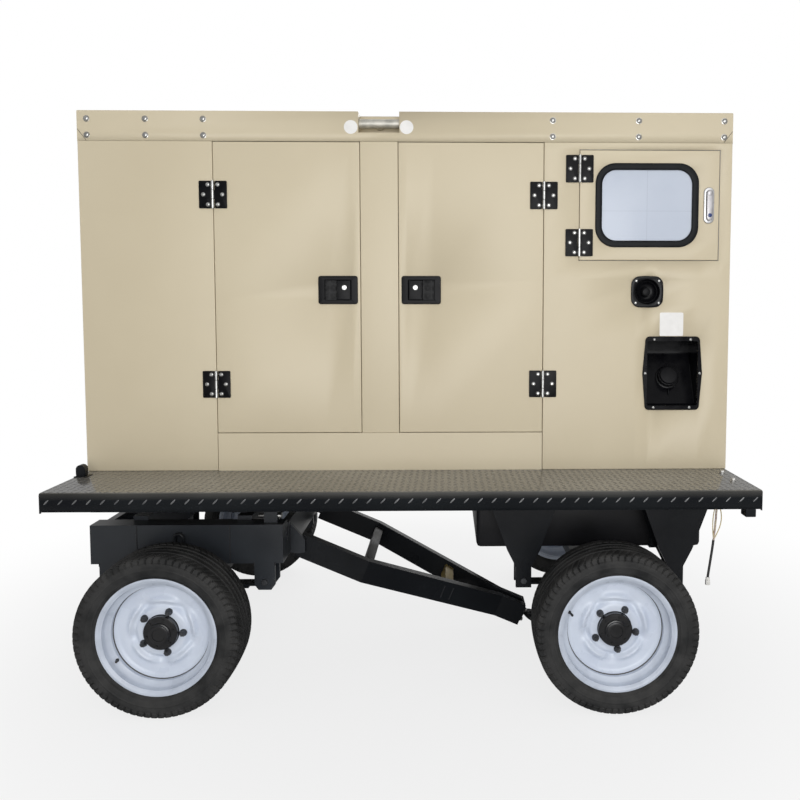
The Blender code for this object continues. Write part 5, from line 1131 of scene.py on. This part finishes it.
floor_at = [(0.001, 1.11), (0.022, 1.11), (0.0275, 1.1115), (0.032, 1.115), (0.1165, 1.3095), (0.1192, 1.316),
            (0.12, 1.323), (0.12, 1.366), (0.118, 1.3705), (0.1135, 1.372), (0.001, 1.372)]
back_at = [(0.001, 1.3745), (0.115, 1.3745), (0.1205, 1.3725), (0.1225, 1.367), (0.1225, 1.3225), (0.1216, 1.315),
           (0.1188, 1.3085), (0.0342, 1.1135), (0.029, 1.109), (0.0225, 1.1075), (0.001, 1.1075)]
flange_edge = outline(0.22, 0.3, 0.016, 7, 5)
opening = outline(0.206, 0.262, 0.008, 7, 5)
flange_rings = [np.column_stack([side_flare(ring[:, 0] * s, ring[:, 1], 0.3, flare) + 1.072,
                                 np.full(len(ring), -FACE - d), 1.241 + ring[:, 1] * s])
                for ring, s, flare, d in ((flange_edge, 1.0, 0.109, 0.0002), (flange_edge, 1.0, 0.109, 0.0026),
                                          (flange_edge, 0.988, 0.109, 0.0042), (opening, 1.004, 0.0, 0.0042),
                                          (opening, 1.0, 0.0, 0.0026), (opening, 1.0, 0.0, -0.003),
                                          (opening, 1.012, 0.0, 0.0002))]
floor_edges = []
for x in (0.9712, 1.1728):
    path = track(x, np.linspace(0.029, 0.116, 14) - FACE, np.linspace(1.113, 1.308, 14))
    floor_edges.append(tube(path, 0.0028, 10))
piece("filler_box", [
    skin(flange_rings, "joined"),
    extruded(floor_at + back_at, 0.969, 1.175),
    extruded([(0.001, 1.1075)] + back_at[::-1][1:], 0.9665, 0.969),
    extruded([(0.001, 1.1075)] + back_at[::-1][1:], 1.175, 1.1775),
    *floor_edges,
], gloss_black, "trailer", ("fuel_filler_box",))
cap_axis = np.array([0.0, -0.9171, 0.3987])
cap_up = np.array([0.0, 0.3987, 0.9171])


def cap_place(u, v, w):
    """Points about the cap's axis, with the skirt's edge scalloped as 1 + 0.018 cos 16a."""
    wave = 1 + 0.018 * np.cos(16 * np.arctan2(v, u)) * (np.hypot(u, v) > 0.0405)
    return (np.array([1.072, -0.4215, 1.2194]) + (u * wave)[:, None] * (1.0, 0.0, 0.0) + (v * wave)[:, None] * cap_up
            + np.asarray(w)[:, None] * cap_axis)


piece("filler_neck", [lathe([(0.0, -0.02), (0.035, -0.02), (0.035, -0.006), (0.048, -0.006), (0.048, -0.001),
                             (0.045, 0.0004), (0.035, 0.0004), (0.0, 0.0004)], cap_place, 48)],
      gloss_black, "trailer")
piece("filler_cap", [lathe([(0.0, 0.0008), (0.042, 0.0008), (0.0425, 0.002), (0.0425, 0.017), (0.041, 0.0195),
                            (0.0385, 0.0205),
                            (0.0375, 0.0205), (0.037, 0.027), (0.035, 0.0295), (0.031, 0.0306), (0.0, 0.031)],
                           cap_place, 96)], moulded_black, "fuel_cap", ("fuel_cap",))
piece("filler_tether", [
    tube(np.array([1.072, -0.4215, 1.2194]) + np.outer(np.linspace(-0.046, -0.074, 12), cap_up) + np.outer(
        np.sin(np.linspace(0, np.pi, 12)) * 0.006 - 0.004, cap_axis), 0.002, 10),
], moulded_black, "trailer")
dome_screws("filler_screws", ((0.996, 1.379, 0.004), (1.144, 1.379, 0.004), (0.9605, 1.241, 0.004),
                              (1.1835, 1.241, 0.004), (0.996, 1.1015, 0.004), (1.143, 1.1015, 0.004)))


# ---- Engine
# Cast block, head and sump in dark green enamel, with a rocker cover, an air cleaner, pulleys, a
# fan belt, injector pipes, an oil filter and bright bolts along the joints.
engine_enamel = finish("engine_enamel", (0.022, 0.058, 0.045), (0.034, 0.082, 0.062), (0.28, 0.45), fine=260.0,
                       broad=9.0, relief=0.00025)
coat_nodes(engine_enamel, "engine", "alternator")
engine_low, engine_high = corners("engine")
front_x, rear_x = engine_low[0] + 0.09, engine_high[0] - 0.06
flanges, head_bolts = [], []
for z, depth in ((1.142, 0.158), (1.33, 0.152), (1.518, 0.158)):
    flanges.append(box_block((front_x + 0.002, -depth, z - 0.006), (rear_x - 0.002, depth, z + 0.006), 0.002))
for side in (-1, 1):
    for x in np.linspace(front_x + 0.04, rear_x - 0.04, 9):
        head_bolts.append(hexagon(upward(x, side * 0.1475, 1.524), 0.013, 0.0, 0.0085))
        head_bolts.append(hexagon(facing(x, 0.15, 1.142, side), 0.01, 0.008, 0.013))
cover = [box_block((front_x + 0.045, -0.072, 1.66), (rear_x - 0.045, 0.072, 1.688), 0.01)]
for x in np.linspace(front_x + 0.09, rear_x - 0.09, 4):
    cover.append(lathe([(0.0, 1.686), (0.013, 1.686), (0.013, 1.693), (0.01, 1.696), (0.0, 1.696)],
                       upward(x, 0.0), 20))
fins = [box_block((x - 0.002, -0.1585, 1.18), (x + 0.002, -0.14, 1.48), 0.001) for x in np.linspace(front_x + 0.05,
                                                                                                    rear_x - 0.07, 7)]
piece("engine_castings", flanges + cover + fins, engine_enamel, "trailer")
piece("engine_bolts", head_bolts, zinc, "trailer")
pulleys = []
for y, z, reach in ((0.0, 1.25, 0.075), (0.0, 1.36, 0.062), (-0.145, 1.42, 0.036)):
    pulleys.append(lathe([(0.0, -0.014), (reach, -0.014), (reach, -0.009), (reach - 0.008, -0.001),
                          (reach - 0.008, 0.001),
                          (reach, 0.009), (reach, 0.014), (0.0, 0.014)], on_axis(y, z, front_x - 0.016), 40))
piece("engine_pulleys", pulleys, dark_steel, "trailer")
belt_black = finish("belt_black", (0.014, 0.014, 0.014), (0.022, 0.022, 0.022), (0.55, 0.7), fine=700.0, broad=30.0)
belt_turn = np.linspace(0, 2 * np.pi, 60, endpoint=False)
belt_y = 0.07 * np.cos(belt_turn) * (1.06 - 0.1 * np.sin(belt_turn))
belt_z = 1.303 + 0.122 * np.sin(belt_turn)
belt_rings = [track(front_x - 0.016 + dx, belt_y * s, 1.303 + (belt_z - 1.303) * s)
              for dx, s in ((-0.006, 1.0), (0.006, 1.0), (0.004, 0.9), (-0.004, 0.9))]
hose_arc = np.linspace(0, np.pi / 2, 10)
top_hose = track(-0.722 + 0.2 * np.sin(hose_arc), 0.1, 1.77 - 0.125 * (1 - np.cos(hose_arc)))
top_hose = np.concatenate([top_hose, [[front_x + 0.045, 0.085, 1.64], [front_x + 0.06, 0.08, 1.635]]])
piece("belt_and_hose", [skin(belt_rings, "joined"), tube(top_hose, 0.0215, 20)], belt_black, "trailer")
pipes = []
for step_x in range(4):
    x = front_x + 0.09 + 0.115 * step_x
    pipes.append(tube(np.array([[x, -0.176, 1.31], [x, -0.182, 1.38], [x + 0.01, -0.172, 1.47],
                                [x + 0.02, -0.12, 1.56], [x + 0.02, -0.1, 1.6]]), 0.0032, 8))
piece("injector_pipes", pipes, zinc, "trailer")
cleaner_place = on_axis(-0.2, 1.59)
clean_x0, clean_x1 = engine_low[0] + 0.19, engine_high[0] - 0.18
piece("air_cleaner", [lathe([(0.0, clean_x0 - 0.004), (0.07, clean_x0 - 0.004), (0.0765, clean_x0 + 0.004),
                             (0.0765, clean_x0 + 0.03),
                             (0.0752, clean_x0 + 0.033), (0.0752, clean_x1 - 0.033), (0.0775, clean_x1 - 0.03),
                             (0.0775, clean_x1 - 0.018), (0.07, clean_x1 + 0.004), (0.0, clean_x1 + 0.004)],
                            cleaner_place, 48)], moulded_black, "trailer")
filter_place = on_axis(-0.18, 1.22)
piece("oil_filter", [lathe([(0.0, front_x + 0.138), (0.038, front_x + 0.138), (0.0465, front_x + 0.146),
                            (0.0465, front_x + 0.24),
                            (0.0445, front_x + 0.248), (0.0, front_x + 0.248)], filter_place, 40)], white_moulding,
      "trailer")


# ---- Alternator
# A steel barrel with cooling fins along it, a terminal box with a screwed lid and a
# blank data plate, in the engine's green enamel.
alt_low, alt_high = corners("alternator")
barrel_fins = []
for turn in np.linspace(-0.35 * np.pi, 1.35 * np.pi, 30):
    y, z = np.cos(turn), np.sin(turn)
    path = track(np.linspace(alt_low[0] + 0.07, alt_high[0] - 0.085, 6), 0.1905 * y, 1.3 + 0.1905 * z)
    if z < 0.4:
        barrel_fins.append(tube(path, 0.0042, 8))
lid = box_block((alt_low[0] + 0.202, -0.133, 1.633), (alt_high[0] - 0.118, 0.133, 1.644), 0.003)
piece("alternator_details", barrel_fins + [lid], engine_enamel, "trailer")
lid_screws = []
for x in (alt_low[0] + 0.215, alt_high[0] - 0.131):
    for y in (-0.118, 0.118):
        lid_screws.append(hexagon(upward(x, y, 1.644), 0.009, -0.0004, 0.005))
piece("terminal_box_screws", lid_screws, zinc, "trailer")
piece("data_plate", [box_block((alt_low[0] + 0.26, -0.1318, 1.53), (alt_low[0] + 0.34, -0.1296, 1.59), 0.0006)],
      satin_alloy, "trailer")


# ---- Radiator and fan
# A core of flat tubes and folded fins between pressed tanks, all in black. The plastic fan pushes
# air through it inside a round shroud.
def core_fins():
    """Fins every 4 mm across the core and tubes every 11 mm: waves over Z and Y as height."""
    material = finish("radiator_core", (0.016, 0.016, 0.017), (0.028, 0.028, 0.029), (0.35, 0.5), fine=300.0,
                      broad=8.0)
    tree = material.node_tree
    place = node(tree, "TexCoord").outputs["Object"]
    tubes, rows = (node(tree, "TexWave", ("Scale", scale), ("Distortion", 0.0), ("Vector", place),
                        bands_direction=axis).outputs["Fac"] for axis, scale in (("Y", 28.0), ("Z", 78.0)))
    both = node(tree, "Math", (0, rows), (1, 0.4), (2, tubes), operation="MULTIPLY_ADD")
    return emboss(material, both.outputs[0], 0.002)


coat_nodes(core_fins(), "radiator")
tank_parts = []
for z_low, z_high in ((1.688, 1.7615), (1.0004, 1.072)):
    tank_parts.append(box_block((-0.7705, -0.3705, z_low), (-0.6645, 0.3705, z_high), 0.012))
for side in (-1, 1):
    tank_parts.append(box_block((-0.756, side * 0.348, 1.065), (-0.684, side * 0.366, 1.695), 0.003))
piece("radiator_tanks", tank_parts, black_enamel, "trailer")
piece("radiator_cap", [lathe([(0.0, 1.789), (0.029, 1.789), (0.031, 1.791), (0.031, 1.796), (0.02, 1.7975),
                              (0.018, 1.801), (0.0, 1.801)], upward(-0.72, 0.1), 40)], zinc, "trailer")
fan_x = sum(corners("cooling_fan"))[0] / 2
blades = []
for turn in np.arange(6) * np.pi / 3:
    reach = np.linspace(0.042, 0.218, 14)[:, None]
    chord = np.linspace(-1, 1, 9)[None, :]
    width = 0.03 + 0.01 * np.sin(np.pi * (reach - 0.042) / 0.176)
    twist = math.radians(42) - math.radians(20) * (reach - 0.042) / 0.176
    camber = 0.004 * (1 - chord ** 2)
    out_x = width * chord * np.cos(twist) * 0.6 + camber
    across = width * chord * np.sin(twist + 0.5)
    faces_of = []
    for skin_offset in (-0.0013, 0.0013):
        y = reach * np.cos(turn) - across * np.sin(turn)
        z = reach * np.sin(turn) + across * np.cos(turn)
        faces_of.append(np.stack([fan_x + out_x + skin_offset, y + 0 * chord, 1.36 + z + 0 * chord], -1))
    rings = np.concatenate([faces_of[0], faces_of[1][:, ::-1]], axis=1)
    blades.append(skin(rings))
blades.append(lathe([(0.0, -0.0265), (0.044, -0.0265), (0.05, -0.0215), (0.0505, 0.0215), (0.047, 0.0265),
                     (0.0, 0.0265)], on_axis(0.0, 1.36, fan_x), 40))
piece("fan_blades", blades, moulded_black, "fan", ("cooling_fan",))


# ---- Silencer
# A wrapped steel drum with rolled end seams on two brackets, a short riser from the manifold and a
# tailpipe that turns up towards the vent. Heat has browned its aluminised skin.
heat_brown = finish("heat_brown", (0.16, 0.145, 0.125), (0.3, 0.275, 0.235), (0.42, 0.62), metallic=0.5, fine=220.0,
                    broad=7.0, relief=0.0002)
coat_nodes(heat_brown, "muffler")
DRUM_RADIUS = 0.09
piece("silencer_seams", [lathe([(0.0, x - 0.007), (DRUM_RADIUS - 0.002, x - 0.007), (DRUM_RADIUS + 0.003, x - 0.004),
                                (DRUM_RADIUS + 0.003, x + 0.004), (DRUM_RADIUS - 0.002, x + 0.007), (0.0, x + 0.007)],
                               on_axis(0.1, 1.9), 48)
                         for x in (-0.435, -0.205, 0.025)], heat_brown, "trailer")


# ---- Battery
# A black moulded case with a lid, two lead posts and their clamps.
bat_low, bat_high = corners("battery")
battery_top = bat_low[2] + 0.2
battery_case = [
    box_block(bat_low + (0.001, 0.001, 0.0), (bat_high[0] - 0.001, bat_high[1] - 0.001, battery_top - 0.03), 0.004),
    box_block((bat_low[0], bat_low[1], battery_top - 0.032), (bat_high[0], bat_high[1], battery_top), 0.004),
]
piece("battery_case", battery_case, moulded_black, "trailer", ("battery",))
clamps = []
for x in (0.68, 0.86):
    spot = upward(x, (bat_low[1] + bat_high[1]) / 2)
    clamps.append(lathe([(0.0, battery_top - 0.001), (0.0105, battery_top - 0.001), (0.0095, battery_top + 0.018),
                         (0.0, battery_top + 0.018)], spot, 20))
    clamps.append(stack([(0.03, 0.034, 0.006, battery_top + 0.003), (0.03, 0.034, 0.006, battery_top + 0.014)], spot,
                        5))
piece("battery_clamps", clamps, dark_steel, "trailer")


# ---- Control panel
# A white enamelled box behind the control door, with a flat instrument plate, blank gauges, a dark
# controller screen, switches, lamps and a breaker.
panel_white = finish("panel_white", (0.7, 0.7, 0.69), (0.76, 0.76, 0.75), (0.3, 0.42), fine=500.0, broad=3.0)
coat_nodes(panel_white, "control_panel")
PANEL_FACE = 0.33
bezels, dials, lights = [], [], []
for x, z, reach in ((0.79, 2.05, 0.042), (0.9, 2.05, 0.042), (1.01, 2.05, 0.042)):
    bezels.append(stack(rolled(2 * reach, 2 * reach, 0.006, -0.001, 0.01, 0.002), facing(x, PANEL_FACE, z), 4))
    dials.append(stack([(2 * reach - 0.012, 2 * reach - 0.012, 0.003, 0.0098),
                        (2 * reach - 0.012, 2 * reach - 0.012, 0.003, 0.0106)], facing(x, PANEL_FACE, z), 4))
bezels.append(stack(rolled(0.21, 0.14, 0.008, -0.001, 0.014, 0.003), facing(0.86, PANEL_FACE, 1.89), 5))
screen = [stack([(0.11, 0.06, 0.004, 0.0138), (0.11, 0.06, 0.004, 0.0146)], facing(0.84, PANEL_FACE, 1.905), 5)]
bezels.append(stack(rolled(0.11, 0.15, 0.005, -0.001, 0.03, 0.004), facing(1.08, PANEL_FACE, 1.88), 5))
bezels.append(stack(rolled(0.024, 0.05, 0.004, 0.029, 0.044, 0.004), facing(1.08, PANEL_FACE, 1.88), 5))
for index in range(6):
    lights.append(lathe([(0.0, -0.001), (0.011, -0.001), (0.011, 0.006), (0.008, 0.011), (0.0, 0.013)],
                        facing(0.77 + 0.055 * index, PANEL_FACE, 1.77), 24))
piece("instrument_housings", bezels, moulded_black, "trailer")
piece("instrument_faces", dials, white_label, "trailer")
screen_green = finish("screen_glass", (0.02, 0.03, 0.028), (0.028, 0.04, 0.036), (0.06, 0.12), fine=200.0, broad=10.0,
                      relief=0.00001)
piece("controller_screen", screen, screen_green, "trailer")
piece("indicator_lamps", lights, chrome, "trailer")


# ---- Under-deck tank
# A black rotationally moulded tank between the main rails, carried on two steel straps.
tank_low, tank_high = corners("under_deck_tank")
tank_black = finish("tank_black", (0.006, 0.006, 0.007), (0.012, 0.012, 0.014), (0.4, 0.55), fine=150.0, broad=6.0,
                    relief=0.0004, specular=0.2)
piece("tank_moulding", [box_block(tank_low, tank_high, 0.018)], tank_black, "trailer",
      ("under_deck_tank",))
straps = []
for x in (tank_low[0] + 0.2, tank_high[0] - 0.2):
    straps.append(box_block((x - 0.02, tank_low[1] + 0.001, tank_low[2] - 0.003),
                            (x + 0.02, tank_high[1] - 0.001, tank_low[2] + 0.003), 0.001))
    for y in (tank_low[1], tank_high[1]):
        straps.append(box_block((x - 0.02, y - 0.003, tank_low[2] - 0.003),
                                (x + 0.02, y + 0.003, tank_high[2] - 0.002), 0.001))
piece("tank_straps", straps, black_enamel, "trailer")


# ---- Door linings
# A slab of dark acoustic foam with an egg-box face is glued inside each service door.
def egg_box_foam():
    """Egg-box foam: a bump of sin(x) sin(z) lumps 30 mm apart."""
    material = finish("acoustic_foam", (0.02, 0.02, 0.021), (0.034, 0.034, 0.035), (0.85, 0.95), fine=900.0,
                      broad=30.0, relief=0.0008)
    tree = material.node_tree
    place = node(tree, "TexCoord").outputs["Object"]
    lumps = [(index, node(tree, "TexWave", ("Scale", 10.0), ("Vector", place), wave_profile="SIN",
                          bands_direction=axis).outputs["Fac"]) for index, axis in enumerate("XZ")]
    return emboss(material, node(tree, "Math", *lumps, operation="MULTIPLY").outputs[0], 0.012)


foam = egg_box_foam()
for door, (side, hand) in DOORS.items():
    free, edge = POST_X + hand * 0.172, POST_X + hand * 0.65
    behind_latch = box_block((free, side * (FACE - 0.003), 1.01), (edge, side * (FACE - 0.022), 2.155), 0.004)
    strips = [box_block((POST_X + hand * 0.085, side * (FACE - 0.003), low),
                        (free + hand * 0.001, side * (FACE - 0.022), high), 0.004)
              for low, high in ((1.01, 1.5), (1.656, 2.155))]
    piece(door + "_foam", [behind_latch] + strips, foam, door + "_door")
